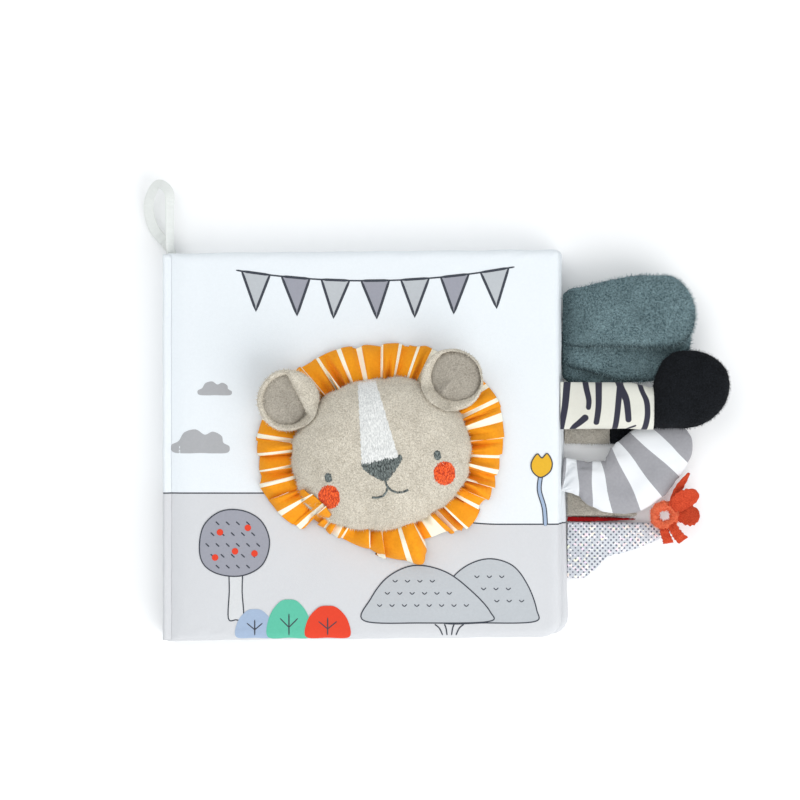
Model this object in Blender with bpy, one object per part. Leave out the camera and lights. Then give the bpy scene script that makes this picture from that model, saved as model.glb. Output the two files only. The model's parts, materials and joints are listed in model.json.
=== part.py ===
"""A crinkle cloth book for a baby, closed and lying on its back cover.

Three padded cloth leaves with crinkle film in them are sewn to one spine band. The front cover carries a
stuffed lion head with a gathered mane, soft animal tails are sewn into the outer edges of the leaves, and a
ribbon loop stands out of the top of the spine. Metres, +Z up out of the front cover, +Y to the book's head,
+X to the tails, with the origin under the middle of the back cover.
"""

import math

import bmesh
import bpy
from mathutils import Matrix, Vector

# Clearances that every piece shares
CLEARANCE = 0.0003
CUT_OVERRUN = 0.002
SHARP_ANGLE = math.radians(50)

# The book
BOOK_WIDTH = 0.180
LEAF_HEIGHT = 0.1753
LEAF_THICKNESS = 0.006
LEAF_CORNER = 0.0080
LEAF_TOP_CORNER = 0.0030
LEAF_SLANT = 0.0019
SLANT_PIVOT_SHARE = 0.3
LEAF_CORNER_AT_SPINE = 0.0015
SPINE_CLOTH = 0.0008
SPINE_BOW = 0.0009
SPINE_HEM = 0.0004
LEAF_WIDTH = 0.1785
# how much further than the front cover the other leaves reach, which is what shows of them
MIDDLE_SHOWS = 0.0014
BACK_SHOWS_AT_TOP = 0.0010
BACK_SHOWS_AT_BOTTOM = 0.0047
SEAM_ROUND = 0.0040
SEAM_TAPER_AT_SPINE = 0.0120
FILM_THICKNESS = 0.0004
FILM_MARGIN = 0.0110
EDGE_STEPS = 5
SPINE_STEPS = 8
# how far in each ring of a leaf's edge lies, and how high, as shares of the rounding and half the thickness
EDGE_IN_SHARES = (0.0, 0.10, 0.40, 1.0)
EDGE_UP_SHARES = (0.0, 0.42, 0.78, 1.0)
SPINE_UP_SHARES = (0.0, 0.10, 0.36, 1.0)

# The hanging loop, a flat ribbon folded in two and sewn in at the head of the spine
RIBBON_WIDTH = 0.0060
RIBBON_THICKNESS = 0.0010
RIBBON_TURNS = (math.radians(26), math.radians(34), math.radians(28), math.radians(20), math.radians(18))
LOOP_WIDTH = 0.0096
LOOP_RISE = 0.0318
LOOP_LEAN = 0.0024
LOOP_FOOT_IN = 0.0030
LOOP_FOOT_Z = 0.0093
LOOP_CROSSING = 0.0062
LOOP_STEPS = 34
# the ribbon from its lower foot round to its upper one: how far aside, as shares of half the loop's width, how
# far up the rise, how far above the middle of its feet, and how far over to the loop's own middle line
LOOP_SIDE_SHARES = (0.0, -0.5, -0.72, -1.1, -0.25, 0.85, 1.0, -0.1, 0.0)
LOOP_UP_SHARES = (0.0, 0.14, 0.40, 0.74, 1.0, 0.90, 0.62, 0.16, 0.0)
LOOP_LEVEL_SHARES = (-0.5, -0.5, -0.5, -0.25, 0.0, 0.25, 0.5, 0.5, 0.5)
LOOP_MIDDLE_SHARES = (0.0, 0.0, 1.0, 1.0, 1.0, 1.0, 1.0, 0.0, 0.0)

# The lion head
HEAD_X = 0.0086
HEAD_Y = -0.0032
HEAD_HALF_WIDTH = 0.0412
HEAD_HALF_HEIGHT = 0.0342
HEAD_TILT = math.radians(11.6)
HEAD_RISE = 0.0235
HEAD_SQUARENESS = 2.25
FACE_CLOTH = 0.0014
BACKING_THICKNESS = 0.0010
HEAD_SEGMENTS = 36
# the face's profile: how far out each ring lies and how high, as shares of the outline and the rise
FACE_OUT_SHARES = (0.930, 0.972, 0.996, 1.0, 0.972, 0.900, 0.780, 0.600, 0.360, 0.130)
FACE_UP_SHARES = (0.0, 0.09, 0.20, 0.32, 0.50, 0.67, 0.81, 0.92, 0.985, 1.0)
BACKING_SHARE = 0.91
EAR_RADIUS = 0.0140
EAR_DEPTH = 0.0044
EAR_LIP = 0.0026
EAR_CLOTH = 0.0022
EAR_LINING = 0.0009
EAR_TILT = math.radians(9)
EAR_SEGMENTS = 24
EAR_OVER_MANE = 0.0082
RIGHT_EAR_X = 0.0318
RIGHT_EAR_Y = 0.0330
LEFT_EAR_X = -0.0418
LEFT_EAR_Y = 0.0232
EAR_BACK_OUT_SHARES = (0.20, 0.60, 0.88, 1.0)
EAR_BACK_UP_SHARES = (0.0, 0.10, 0.42, 1.0)
EAR_LIP_OUT_SHARES = (0.97, 0.90)
EAR_LIP_UP_SHARES = (0.75, 1.0, 0.35)
EAR_BOWL_OUT_SHARE = 0.80
EAR_BOWL_IN_SHARE = 0.45
EAR_LINING_SHARE = 0.94

# The mane, a doubled strip of striped cotton gathered round the face
MANE_REACH = 0.0562
MANE_THICKNESS = 0.0014
MANE_EDGE_RISE = 0.0024
MANE_CROWN = 0.0036
MANE_FOLD = 0.0012
MANE_FOLDS = 26
MANE_STEPS_PER_FOLD = 5
# the mane's reach from the head's middle, all the way round from the book's outer side, as shares of it
MANE_REACH_SHARES = (
    0.980, 1.007, 0.996, 0.952, 0.918, 0.904, 0.879, 0.893, 0.918, 0.943, 0.966, 0.989,
    1.004, 1.025, 0.952, 0.835, 0.776, 0.780, 0.827, 0.925, 0.812, 0.895, 0.947, 0.950, 0.980,
)
MANE_TUCK_SHARE = 0.985
MANE_CROSS_SHARES = (0.0, 0.14, 0.5, 0.82, 1.0)
MANE_CROWN_SHARES = (0.0, 0.36, 1.0, 0.62, 0.0)

# The embroidery on the face, in the face's own tilted frame
THREAD_THICKNESS = 0.0008
STITCH_SINK = 0.0020
PATCH_FOOT_SHARES = (0.5, 1.0)
PATCH_TOP_SHARES = (0.96, 0.6, 0.2)
BRIDGE_TOP_Y = 0.0322
BRIDGE_TOP_WIDTH = 0.0080
BRIDGE_BOTTOM_Y = -0.0024
BRIDGE_BOTTOM_WIDTH = 0.0162
BRIDGE_ROWS = 14
BRIDGE_COLUMNS = 4
NOSE_WIDTH = 0.0184
NOSE_HEIGHT = 0.0078
NOSE_OUTLINE_SHARES = (
    (-0.5, 0.0), (0.0, 0.0), (0.5, 0.0), (0.49, -0.28), (0.30, -0.66), (0.10, -0.94),
    (-0.10, -0.94), (-0.30, -0.66), (-0.49, -0.28),
)
CHEEK_RADIUS = 0.0050
CHEEK_SPREAD = 0.0261
CHEEK_Y = -0.0142
CHEEK_SEGMENTS = 14
EYE_WIDTH = 0.0036
EYE_HEIGHT = 0.0042
EYE_SPREAD = 0.0246
EYE_Y = -0.0052
EYE_SEGMENTS = 10

# How the tails are sewn in and how the layers lie on each other
SEAM_HALF = 0.0010
SETTLE = 0.0160
PLUSH = 0.0009
TAIL_SEGMENTS = 14
OUTLINE_STEPS = 3
# a flat padded form from its middle to its rim: how far out, and how high, as a share of half its height
PAD_SIDE_SHARES = ((0.30, 1.0), (0.62, 0.95), (0.86, 0.74), (0.965, 0.40))

# The uppermost tail: a cream sleeve with dark stripes and a black plush tip
STRIPED_TAIL_Y = 0.0183
STRIPED_SLEEVE_LENGTH = 0.0414
STRIPED_SLEEVE_WIDTH = 0.0216
STRIPED_SLEEVE_HEIGHT = 0.0096
STRIPED_SLEEVE_STEPS = 9
STRIPED_GROWTH_RATE = 2.2
STRIPED_TAIL_RISE = 0.0064
STRIPED_TIP_LENGTH = 0.0336
STRIPED_TIP_WIDTH = 0.0352
STRIPED_TIP_HEIGHT = 0.0172
STRIPED_TIP_LIFT = 0.0032
STRIPED_TIP_LEAN = 0.0090
STRIPED_START_HEIGHT = 0.0022
# the black tip from its seam to its end: how far along, how far it leans over, how wide and how high
TIP_ALONG_SHARES = (0.0, 0.05, 0.12, 0.25, 0.38, 0.52, 0.66, 0.79, 0.89, 0.96, 1.0)
TIP_LEAN_SHARES = (0.0, 0.30, 0.54, 0.74, 0.80, 0.84, 0.88, 0.92, 0.96, 0.99, 1.0)
TIP_WIDTH_SHARES = (0.60, 0.73, 0.87, 0.97, 1.0, 0.98, 0.91, 0.77, 0.59, 0.38, 0.14)
TIP_HEIGHT_SHARES = (0.56, 0.70, 0.85, 0.97, 1.0, 0.98, 0.91, 0.77, 0.60, 0.40, 0.18)

# The three teal plush flaps of the middle leaf
FLAP_LENGTH = 0.0596
FLAP_WIDTH = 0.0336
FLAP_Y = 0.0604
FLAP_TOP_HEIGHT = 0.0090
FLAP_UNDER_HEIGHT = 0.0050
FLAP_MIDDLE_LENGTH = 0.0585
FLAP_MIDDLE_WIDTH = 0.0300
FLAP_MIDDLE_Y = 0.0440
FLAP_LOWER_LENGTH = 0.0350
FLAP_LOWER_WIDTH = 0.0270
FLAP_LOWER_Y = 0.0405
FLAP_LEVEL = 0.0036
FLAP_SEAM_STEP = 0.0014
FLAP_OUTLINE_SHARES = (
    (0.0, 0.22), (0.18, 0.38), (0.50, 0.49), (0.80, 0.50), (0.95, 0.28), (1.0, -0.06),
    (0.94, -0.36), (0.78, -0.49), (0.42, -0.47), (0.0, -0.40),
)
MIDDLE_OUTLINE_SHARES = (
    (0.0, 0.40), (0.50, 0.50), (0.90, 0.46), (1.0, 0.12), (0.92, -0.24), (0.70, -0.48),
    (0.46, -0.50), (0.22, -0.36), (0.0, -0.18),
)
LOWER_OUTLINE_SHARES = (
    (0.0, 0.44), (0.50, 0.50), (0.90, 0.36), (1.0, 0.0), (0.90, -0.38), (0.60, -0.50),
    (0.28, -0.47), (0.0, -0.32),
)

# The broad curved tail with grey and white stripes
CURVED_TAIL_Y = -0.0131
CURVED_REACH = 0.0532
CURVED_DIP = 0.0047
CURVED_CLIMB = 0.0233
CURVED_WIDTH = 0.0330
CURVED_HEIGHT = 0.0078
CURVED_LEVEL = 0.0110
CURVED_STEPS = 2
CURVED_SETTLING_RATE = 4
# the middle line of the curved tail as shares of its reach and of its climb above the dip
CURVED_ALONG_SHARES = (0.0, 0.10, 0.20, 0.38, 0.58, 0.80, 0.93, 0.985, 1.0)
CURVED_UP_SHARES = (0.17, 0.13, 0.08, 0.0, 0.12, 0.50, 0.76, 0.94, 1.0)
CURVED_WIDTH_SHARES = (0.47, 0.50, 0.56, 0.80, 1.0, 0.95, 0.74, 0.42, 0.16)
CURVED_HEIGHT_SHARES = (0.41, 0.60, 0.80, 0.96, 1.0, 1.0, 0.90, 0.60, 0.26)

# The tassel at the end of the curved tail, a chenille ring with felt petals
RING_FROM_SEAM = 0.0467
RING_BELOW_TAIL = 0.0187
RING_RADIUS = 0.0045
RING_SEGMENTS = 20
RING_WIRE = 0.0016
WIRE_SEGMENTS = 8
PETAL_THICKNESS = 0.0011
PETAL_WIDTH = 0.0074
PETAL_CURL = 0.0012
PETAL_REACH = 0.0110
PETAL_STEPS = 6
PETAL_FLARE_RATE = 1.5
PETAL_ROOT_SHARE = 0.45
PETAL_END_SHARE = 0.72
PETAL_TURNS = (math.radians(60), math.radians(36), math.radians(6), math.radians(-52), math.radians(-84))
PETAL_REACH_SHARES = (1.60, 1.24, 0.98, 0.86, 0.74)
PETAL_WIDTH_SHARES = (0.50, 1.20, 1.30, 0.76, 0.76)
PETAL_LIFTS = (0.0015, 0.0, -0.0015, 0.0010, -0.0005)

# The tail of the back cover: beige plush with a black tip
BEIGE_TAIL_Y = 0.0110
BEIGE_SLEEVE_LENGTH = 0.0205
BEIGE_TAIL_WIDTH = 0.0205
BEIGE_TAIL_HEIGHT = 0.0058
BEIGE_TIP_LENGTH = 0.0150
BEIGE_TAIL_LEVEL = 0.0036
BEIGE_START_HEIGHT = 0.0030
BEIGE_SLEEVE_STEPS = 4
BEIGE_GROWTH_RATE = 1.6
BEIGE_TIP_ALONG_SHARES = (0.0, 0.3, 0.6, 0.84, 0.96, 1.0)
BEIGE_TIP_WIDTH_SHARES = (1.0, 0.98, 0.84, 0.56, 0.28, 0.10)
BEIGE_TIP_HEIGHT_SHARES = (1.0, 1.0, 0.94, 0.74, 0.50, 0.30)

# The fish tail of the back cover: beige plush, a red felt edge and a glitter panel
FIN_Y = -0.0338
FIN_LENGTH = 0.0462
FIN_WIDTH = 0.0256
FIN_HEIGHT = 0.0046
FIN_LEVEL = 0.0032
FIN_OUTLINE_STEPS = 2
FIN_PLUSH_LENGTH = 0.0310
FIN_PLUSH_WIDTH = 0.0120
FIN_EDGE_LENGTH = 0.0315
FIN_EDGE_WIDTH = 0.0022
FIN_EDGE_HEIGHT = 0.0024
FIN_EDGE_OUTLINE_SHARES = ((0.0, -0.5), (0.5, -0.42), (1.0, 0.0), (0.5, 0.42), (0.0, 0.5))
FIN_OUTLINE_SHARES = (
    (0.0, 0.0), (0.36, 0.0), (0.72, 0.0), (0.97, -0.13), (1.0, -0.20), (0.86, -0.34),
    (0.60, -0.52), (0.32, -0.66), (0.25, -0.76), (0.20, -0.97), (0.0, -1.0),
)
FIN_PLUSH_OUTLINE_SHARES = (
    (0.0, 0.0), (0.50, 0.0), (0.94, 0.0), (1.0, 0.10), (0.80, 0.40), (0.45, 0.72), (0.0, 1.0),
)

# Worked out from the sizes above
HALF_HEIGHT = LEAF_HEIGHT / 2
HALF_LEAF = LEAF_THICKNESS / 2
BOOK_LEFT = -BOOK_WIDTH / 2
HINGE_X = BOOK_LEFT + SPINE_CLOTH + CLEARANCE
LEAF_STEP = LEAF_THICKNESS + CLEARANCE
BACK_MIDDLE = HALF_LEAF
LEAF_MIDDLE = BACK_MIDDLE + LEAF_STEP
FRONT_MIDDLE = LEAF_MIDDLE + LEAF_STEP
COVER_TOP = FRONT_MIDDLE + HALF_LEAF
MIDDLE_WIDTH = LEAF_WIDTH + MIDDLE_SHOWS
BACK_WIDTH_AT_TOP = LEAF_WIDTH + BACK_SHOWS_AT_TOP
BACK_WIDTH_AT_BOTTOM = LEAF_WIDTH + BACK_SHOWS_AT_BOTTOM
FRONT_EDGE = HINGE_X + LEAF_WIDTH
MIDDLE_EDGE = HINGE_X + MIDDLE_WIDTH
HEAD_BASE = COVER_TOP + CLEARANCE
FACE_BASE = HEAD_BASE + BACKING_THICKNESS + CLEARANCE

MATERIALS = {
    "printed_cotton": ((0.86, 0.88, 0.90), 0.85),
    "page_cotton": ((0.80, 0.82, 0.84), 0.85),
    "crinkle_film": ((0.82, 0.84, 0.86), 0.35),
    "ribbon": ((0.76, 0.80, 0.76), 0.80),
    "beige_plush": ((0.48, 0.42, 0.36), 0.95),
    "beige_plush_dark": ((0.33, 0.29, 0.26), 0.95),
    "mane_cotton": ((0.92, 0.40, 0.04), 0.85),
    "white_thread": ((0.88, 0.88, 0.88), 0.60),
    "dark_thread": ((0.09, 0.12, 0.12), 0.60),
    "red_thread": ((0.85, 0.10, 0.03), 0.70),
    "filling": ((0.90, 0.90, 0.88), 0.95),
    "teal_plush": ((0.11, 0.20, 0.22), 0.95),
    "black_plush": ((0.010, 0.012, 0.015), 0.95),
    "cream_cotton": ((0.82, 0.80, 0.68), 0.85),
    "grey_cotton": ((0.26, 0.26, 0.28), 0.85),
    "orange_felt": ((0.80, 0.09, 0.03), 0.95),
    "red_felt": ((0.42, 0.01, 0.01), 0.95),
    "glitter_cloth": ((0.75, 0.77, 0.82), 0.35),
}


def clear_scene():
    for old in list(bpy.data.objects):
        bpy.data.objects.remove(old, do_unlink=True)


def make_material(name):
    colour, roughness = MATERIALS[name]
    material = bpy.data.materials.new(name)
    material.use_nodes = True
    shader = material.node_tree.nodes["Principled BSDF"]
    shader.inputs["Base Color"].default_value = (*colour, 1)
    shader.inputs["Roughness"].default_value = roughness
    shader.inputs["Metallic"].default_value = 0
    material.diffuse_color = (*colour, 1)
    return material


def blend_share(share):
    """A smooth step from 0 to 1."""
    share = min(max(share, 0), 1)
    return share * share * (3 - 2 * share)


def at_share(table, share):
    """The value of an evenly spaced table at a share of its length, with straight lines between."""
    place = min(max(share, 0), 1) * (len(table) - 1)
    low = min(int(place), len(table) - 2)
    return table[low] + (table[low + 1] - table[low]) * (place - low)


def spline(points, steps, closed):
    """Points along a smooth curve through the given ones."""
    count = len(points)
    made = []
    spans = count if closed else count - 1
    for span in range(spans):
        if closed:
            a, b, c, d = (points[(span + k) % count] for k in (-1, 0, 1, 2))
        else:
            a, b, c, d = (points[min(max(span + k, 0), count - 1)] for k in (-1, 0, 1, 2))
        for step in range(steps):
            t = step / steps
            squared = (2 * a - 5 * b + 4 * c - d) * t**2
            cubed = (3 * b - a - 3 * c + d) * t**3
            made.append(0.5 * (2 * b + (c - a) * t + squared + cubed))
    if not closed:
        made.append(points[-1].copy())
    return made


def body_of_rings(name, rings, material, collection, ring_joined=False):
    """One closed body lofted through rings of as many points each, with flat ends unless it is joined."""
    mesh = bpy.data.meshes.new(name)
    made = bmesh.new()
    rows = [[made.verts.new(point) for point in ring] for ring in rings]
    count = len(rows[0])
    pairs = list(zip(rows, rows[1:]))
    if ring_joined:
        pairs.append((rows[-1], rows[0]))
    for low, high in pairs:
        for i in range(count):
            j = (i + 1) % count
            made.faces.new((low[i], low[j], high[j], high[i]))
    if not ring_joined:
        made.faces.new(list(reversed(rows[0])))
        made.faces.new(rows[-1])
    bmesh.ops.recalc_face_normals(made, faces=made.faces)
    if made.calc_volume(signed=True) < 0:
        bmesh.ops.reverse_faces(made, faces=made.faces)
    made.to_mesh(mesh)
    made.free()
    mesh.shade_smooth()
    mesh.set_sharp_from_angle(angle=SHARP_ANGLE)
    mesh.materials.append(material)
    body = bpy.data.objects.new(name, mesh)
    collection.objects.link(body)
    return body


def strip_section(place, wide, thin):
    """The four corners of a flat strip's section, half its width and half its thickness from its middle."""
    return [place + wide * a + thin * b for a, b in ((-1, -1), (1, -1), (1, 1), (-1, 1))]


def hang_on(piece, pivot):
    """Parents a piece to the empty that its leaf turns with, and leaves it where it is."""
    piece.parent = pivot
    piece.matrix_parent_inverse = pivot.matrix_world.inverted()


def pivot_at(name, place, collection):
    pivot = bpy.data.objects.new(name, None)
    pivot.empty_display_size = LEAF_THICKNESS
    pivot.location = place
    collection.objects.link(pivot)
    return pivot


def slant_at(x):
    """How far the leaves' upper and lower edges have crept up at a place across the book."""
    return LEAF_SLANT * ((x - HINGE_X) / BOOK_WIDTH - SLANT_PIVOT_SHARE)


def leaf_ring(widths, z, side, spine_side):
    """A rounded outline of a leaf, drawn in by side, and by spine_side next to the spine."""
    top_width, bottom_width = widths
    left = HINGE_X + spine_side
    top = HALF_HEIGHT - side
    corners = (
        (HINGE_X + bottom_width - side, -top, max(LEAF_CORNER - side, CLEARANCE), -90),
        (HINGE_X + top_width - side, top, max(LEAF_TOP_CORNER - side, CLEARANCE), 0),
        (left, top, LEAF_CORNER_AT_SPINE, 90),
        (left, -top, LEAF_CORNER_AT_SPINE, 180),
    )
    ring = []
    for x, y, radius, start in corners:
        inward_x = -radius if start in (-90, 0) else radius
        inward_y = radius if start in (-90, 180) else -radius
        for step in range(EDGE_STEPS):
            angle = math.radians(start + 90 * step / (EDGE_STEPS - 1))
            out_x = radius * math.cos(angle)
            out_y = radius * math.sin(angle)
            place = Vector((x + inward_x + out_x, y + inward_y + out_y, z))
            place.y += slant_at(place.x)
            ring.append(place)
    return ring


def leaf_panel(name, widths, middle, up, material, collection):
    """Half of a leaf: a soft outer face, a sewn edge, and a shallow bed inside it for the film."""
    bed = FILM_THICKNESS / 2 + CLEARANCE
    lip = CLEARANCE / 2
    film_edge = FILM_MARGIN - CLEARANCE
    rings = [
        leaf_ring(widths, middle + up * bed, film_edge, film_edge),
        leaf_ring(widths, middle + up * lip, film_edge, film_edge),
    ]
    for inward, height, spine_height in zip(EDGE_IN_SHARES, EDGE_UP_SHARES, SPINE_UP_SHARES):
        ring = leaf_ring(widths, 0, SEAM_ROUND * inward, SEAM_TAPER_AT_SPINE * inward)
        for point in ring:
            away = (point.x - HINGE_X) / SEAM_TAPER_AT_SPINE
            share = spine_height + (height - spine_height) * blend_share(away)
            point.z = middle + up * (lip + (HALF_LEAF - lip) * share)
        rings.append(ring)
    return body_of_rings(name, rings, material, collection)


def make_leaf(name, outer, inner, widths, middle, materials, collection):
    """The two cloth panels of a leaf and the crinkle film between them."""
    upper = leaf_panel(f"{name}_{outer}", widths, middle, 1, materials[0], collection)
    lower = leaf_panel(f"{name}_{inner}", widths, middle, -1, materials[1], collection)
    half_film = FILM_THICKNESS / 2
    film = body_of_rings(
        f"{name}_crinkle_film",
        [leaf_ring(widths, middle + side * half_film, FILM_MARGIN, FILM_MARGIN) for side in (-1, 1)],
        materials[2],
        collection,
    )
    return [upper, lower, film]


def make_spine_band(material, collection):
    """The band of cloth that the left edges of all the leaves are sewn to."""
    low = BACK_MIDDLE - HALF_LEAF + SPINE_HEM
    high = COVER_TOP - SPINE_HEM
    outer = []
    inner = []
    for step in range(SPINE_STEPS + 1):
        share = step / SPINE_STEPS
        z = low + (high - low) * share
        bow = SPINE_BOW * math.sin(math.pi * share)
        outer.append((BOOK_LEFT - bow, z))
        inner.append((BOOK_LEFT - bow + SPINE_CLOTH, z))
    profile = outer + list(reversed(inner))
    half = HALF_HEIGHT - SPINE_HEM
    rings = [[Vector((x, y + slant_at(HINGE_X), z)) for x, z in profile] for y in (-half, half)]
    return body_of_rings("spine_band", rings, material, collection)


def make_hanging_loop(material, collection):
    """A flat ribbon bent into a long loop, its two feet crossing where they are sewn in."""
    foot_x = BOOK_LEFT + LOOP_FOOT_IN
    foot_y = HALF_HEIGHT + slant_at(HINGE_X) + CLEARANCE
    middle_x = BOOK_LEFT - LOOP_LEAN
    routes = zip(LOOP_SIDE_SHARES, LOOP_UP_SHARES, LOOP_LEVEL_SHARES, LOOP_MIDDLE_SHARES)
    guide = [
        Vector(
            (
                foot_x + (middle_x - foot_x) * moved + LOOP_WIDTH / 2 * side,
                foot_y + LOOP_RISE * up,
                LOOP_FOOT_Z + LOOP_CROSSING * level,
            )
        )
        for side, up, level, moved in routes
    ]
    line = spline(guide, LOOP_STEPS // (len(guide) - 1), False)
    rings = []
    for i, place in enumerate(line):
        along = (line[min(i + 1, len(line) - 1)] - line[max(i - 1, 0)]).normalized()
        if i in (0, len(line) - 1):
            along = Vector((0, math.copysign(1, along.y), 0))
        out = along.cross(Vector((0, 0, 1))).normalized()
        up = out.cross(along).normalized()
        turn = at_share(RIBBON_TURNS, i / (len(line) - 1))
        face = up * math.cos(turn) + out * math.sin(turn)
        thin = along.cross(face).normalized()
        rings.append(strip_section(place, face * (RIBBON_WIDTH / 2), thin * (RIBBON_THICKNESS / 2)))
    return body_of_rings("hanging_loop", rings, material, collection)


def head_outline(angle, half_width, half_height):
    """A point of the head's soft oval, before its tilt."""
    cosine = math.cos(angle)
    sine = math.sin(angle)
    power = 2 / HEAD_SQUARENESS
    return Vector(
        (
            half_width * math.copysign(abs(cosine) ** power, cosine),
            half_height * math.copysign(abs(sine) ** power, sine),
            0,
        )
    )


def on_head(point):
    """From the face's own frame to the book's."""
    return Matrix.Translation((HEAD_X, HEAD_Y, 0)) @ Matrix.Rotation(HEAD_TILT, 4, "Z") @ point


def head_rings(inset, base, rise, first=0):
    """The face's rings, drawn in by a wall, from its rim up to its crown."""
    half_width = HEAD_HALF_WIDTH - inset
    half_height = HEAD_HALF_HEIGHT - inset
    rings = []
    for out, up in list(zip(FACE_OUT_SHARES, FACE_UP_SHARES))[first:]:
        ring = []
        for i in range(HEAD_SEGMENTS):
            edge = head_outline(2 * math.pi * i / HEAD_SEGMENTS, half_width, half_height)
            ring.append(on_head(edge * out + Vector((0, 0, base + rise * up))))
        rings.append(ring)
    return rings


def face_height(x, y):
    """How high the face's cloth lies at a place in its own frame."""
    scale = HEAD_SQUARENESS
    share = (abs(x / HEAD_HALF_WIDTH) ** scale + abs(y / HEAD_HALF_HEIGHT) ** scale) ** (1 / scale)
    widest = FACE_OUT_SHARES.index(max(FACE_OUT_SHARES))
    outs = FACE_OUT_SHARES[widest:]
    ups = FACE_UP_SHARES[widest:]
    if share <= outs[-1]:
        return FACE_BASE + HEAD_RISE * ups[-1]
    for i in range(len(outs) - 1):
        if outs[i + 1] <= share <= outs[i]:
            part = (outs[i] - share) / (outs[i] - outs[i + 1])
            return FACE_BASE + HEAD_RISE * (ups[i] + (ups[i + 1] - ups[i]) * part)
    return FACE_BASE + HEAD_RISE * ups[0]


def make_head(materials, collection):
    """The stuffed face: a plush skin open at the back, its filling, and the cloth that closes it."""
    skin = list(reversed(head_rings(FACE_CLOTH, FACE_BASE, HEAD_RISE - FACE_CLOTH)))
    skin += head_rings(0, FACE_BASE, HEAD_RISE)
    face = body_of_rings("lion_face", skin, materials["beige_plush"], collection)
    inner = FACE_CLOTH + CLEARANCE
    filling = body_of_rings(
        "head_filling", head_rings(inner, FACE_BASE, HEAD_RISE - inner), materials["filling"], collection
    )
    disc = []
    for z in (HEAD_BASE, HEAD_BASE + BACKING_THICKNESS):
        ring = []
        for i in range(HEAD_SEGMENTS):
            edge = head_outline(2 * math.pi * i / HEAD_SEGMENTS, HEAD_HALF_WIDTH, HEAD_HALF_HEIGHT)
            ring.append(on_head(edge * BACKING_SHARE + Vector((0, 0, z))))
        disc.append(ring)
    backing = body_of_rings("head_backing", disc, materials["page_cotton"], collection)
    return [face, filling, backing]


def make_mane(material, collection):
    """A ring of gathered cloth: its folds are waves that run round the face."""
    count = MANE_FOLDS * MANE_STEPS_PER_FOLD
    half = MANE_THICKNESS / 2
    tops = []
    bottoms = []
    for out, crown in zip(MANE_CROSS_SHARES, MANE_CROWN_SHARES):
        top = []
        bottom = []
        for i in range(count):
            angle = 2 * math.pi * i / count
            start = head_outline(angle, HEAD_HALF_WIDTH, HEAD_HALF_HEIGHT) * MANE_TUCK_SHARE
            turn = (math.atan2(start.y, start.x) + HEAD_TILT) % math.tau
            end = start.normalized() * MANE_REACH * at_share(MANE_REACH_SHARES, turn / math.tau)
            wave = MANE_FOLD * math.sin(MANE_FOLDS * angle)
            place = start.lerp(end, out)
            z = HEAD_BASE + MANE_EDGE_RISE + MANE_CROWN * crown + wave
            top.append(on_head(place + Vector((0, 0, z + half))))
            bottom.append(on_head(place + Vector((0, 0, z - half))))
        tops.append(top)
        bottoms.append(bottom)
    folded = bottoms + list(reversed(tops))
    return body_of_rings("mane_ruffle", folded, material, collection, ring_joined=True)


def ear_rings(outs, ups, radius, matrix):
    rings = []
    for out, up in zip(outs, ups):
        reach = radius * out
        ring = []
        for i in range(EAR_SEGMENTS):
            angle = 2 * math.pi * i / EAR_SEGMENTS
            ring.append(matrix @ Vector((reach * math.cos(angle), reach * math.sin(angle), up)))
        rings.append(ring)
    return rings


def seat_on(piece, cutter):
    """Trims a piece so that it rests on the face with a small gap."""
    cut = piece.modifiers.new("seat_on_face", "BOOLEAN")
    cut.operation = "DIFFERENCE"
    cut.object = cutter


def make_ear(side, x, y, materials, collection, cutter):
    """A cupped ear: a plush back with a rolled lip, a darker lining in its cup, both seated on the face."""
    out = math.atan2(y, x)
    turn = Matrix.Rotation(out, 4, "Z") @ Matrix.Rotation(-EAR_TILT, 4, "Y")
    z = HEAD_BASE + MANE_EDGE_RISE + MANE_CROWN + EAR_OVER_MANE
    matrix = Matrix.Translation((HEAD_X + x, HEAD_Y + y, z)) @ turn
    floor = EAR_DEPTH - EAR_CLOTH
    back_outs = list(EAR_BACK_OUT_SHARES)
    back_ups = [-floor - EAR_CLOTH / 2 + (floor + EAR_CLOTH / 2) * share for share in EAR_BACK_UP_SHARES]
    bowl = EAR_CLOTH / 2 - floor
    lip_outs = [*EAR_LIP_OUT_SHARES, EAR_BOWL_OUT_SHARE, EAR_BOWL_IN_SHARE]
    lip_ups = [EAR_LIP * share for share in EAR_LIP_UP_SHARES] + [bowl]
    shell = body_of_rings(
        f"{side}_ear",
        ear_rings(back_outs + lip_outs, back_ups + lip_ups, EAR_RADIUS, matrix),
        materials["beige_plush"],
        collection,
    )
    rest = bowl + CLEARANCE
    high = lip_ups[2] + CLEARANCE
    near = EAR_BOWL_OUT_SHARE * EAR_LINING_SHARE
    lining = body_of_rings(
        f"{side}_ear_lining",
        ear_rings(
            [EAR_BOWL_IN_SHARE, near, near, EAR_BOWL_IN_SHARE],
            [rest, high, high + EAR_LINING, rest + EAR_LINING],
            EAR_RADIUS,
            matrix,
        ),
        materials["beige_plush_dark"],
        collection,
    )
    for piece in (shell, lining):
        seat_on(piece, cutter)
    return [shell, lining]


def face_patch(name, outline, material, collection):
    """A pad of close stitches lying on the face inside an outline in the face's own frame."""
    middle = sum(outline, Vector((0, 0, 0))) / len(outline)
    rings = []
    levels = ((-STITCH_SINK, PATCH_FOOT_SHARES), (CLEARANCE + THREAD_THICKNESS, PATCH_TOP_SHARES))
    for height, shares in levels:
        for share in shares:
            ring = []
            for point in outline:
                place = middle.lerp(point, share)
                ring.append(on_head(Vector((place.x, place.y, face_height(place.x, place.y) + height))))
            rings.append(ring)
    return body_of_rings(name, rings, material, collection)


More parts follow.
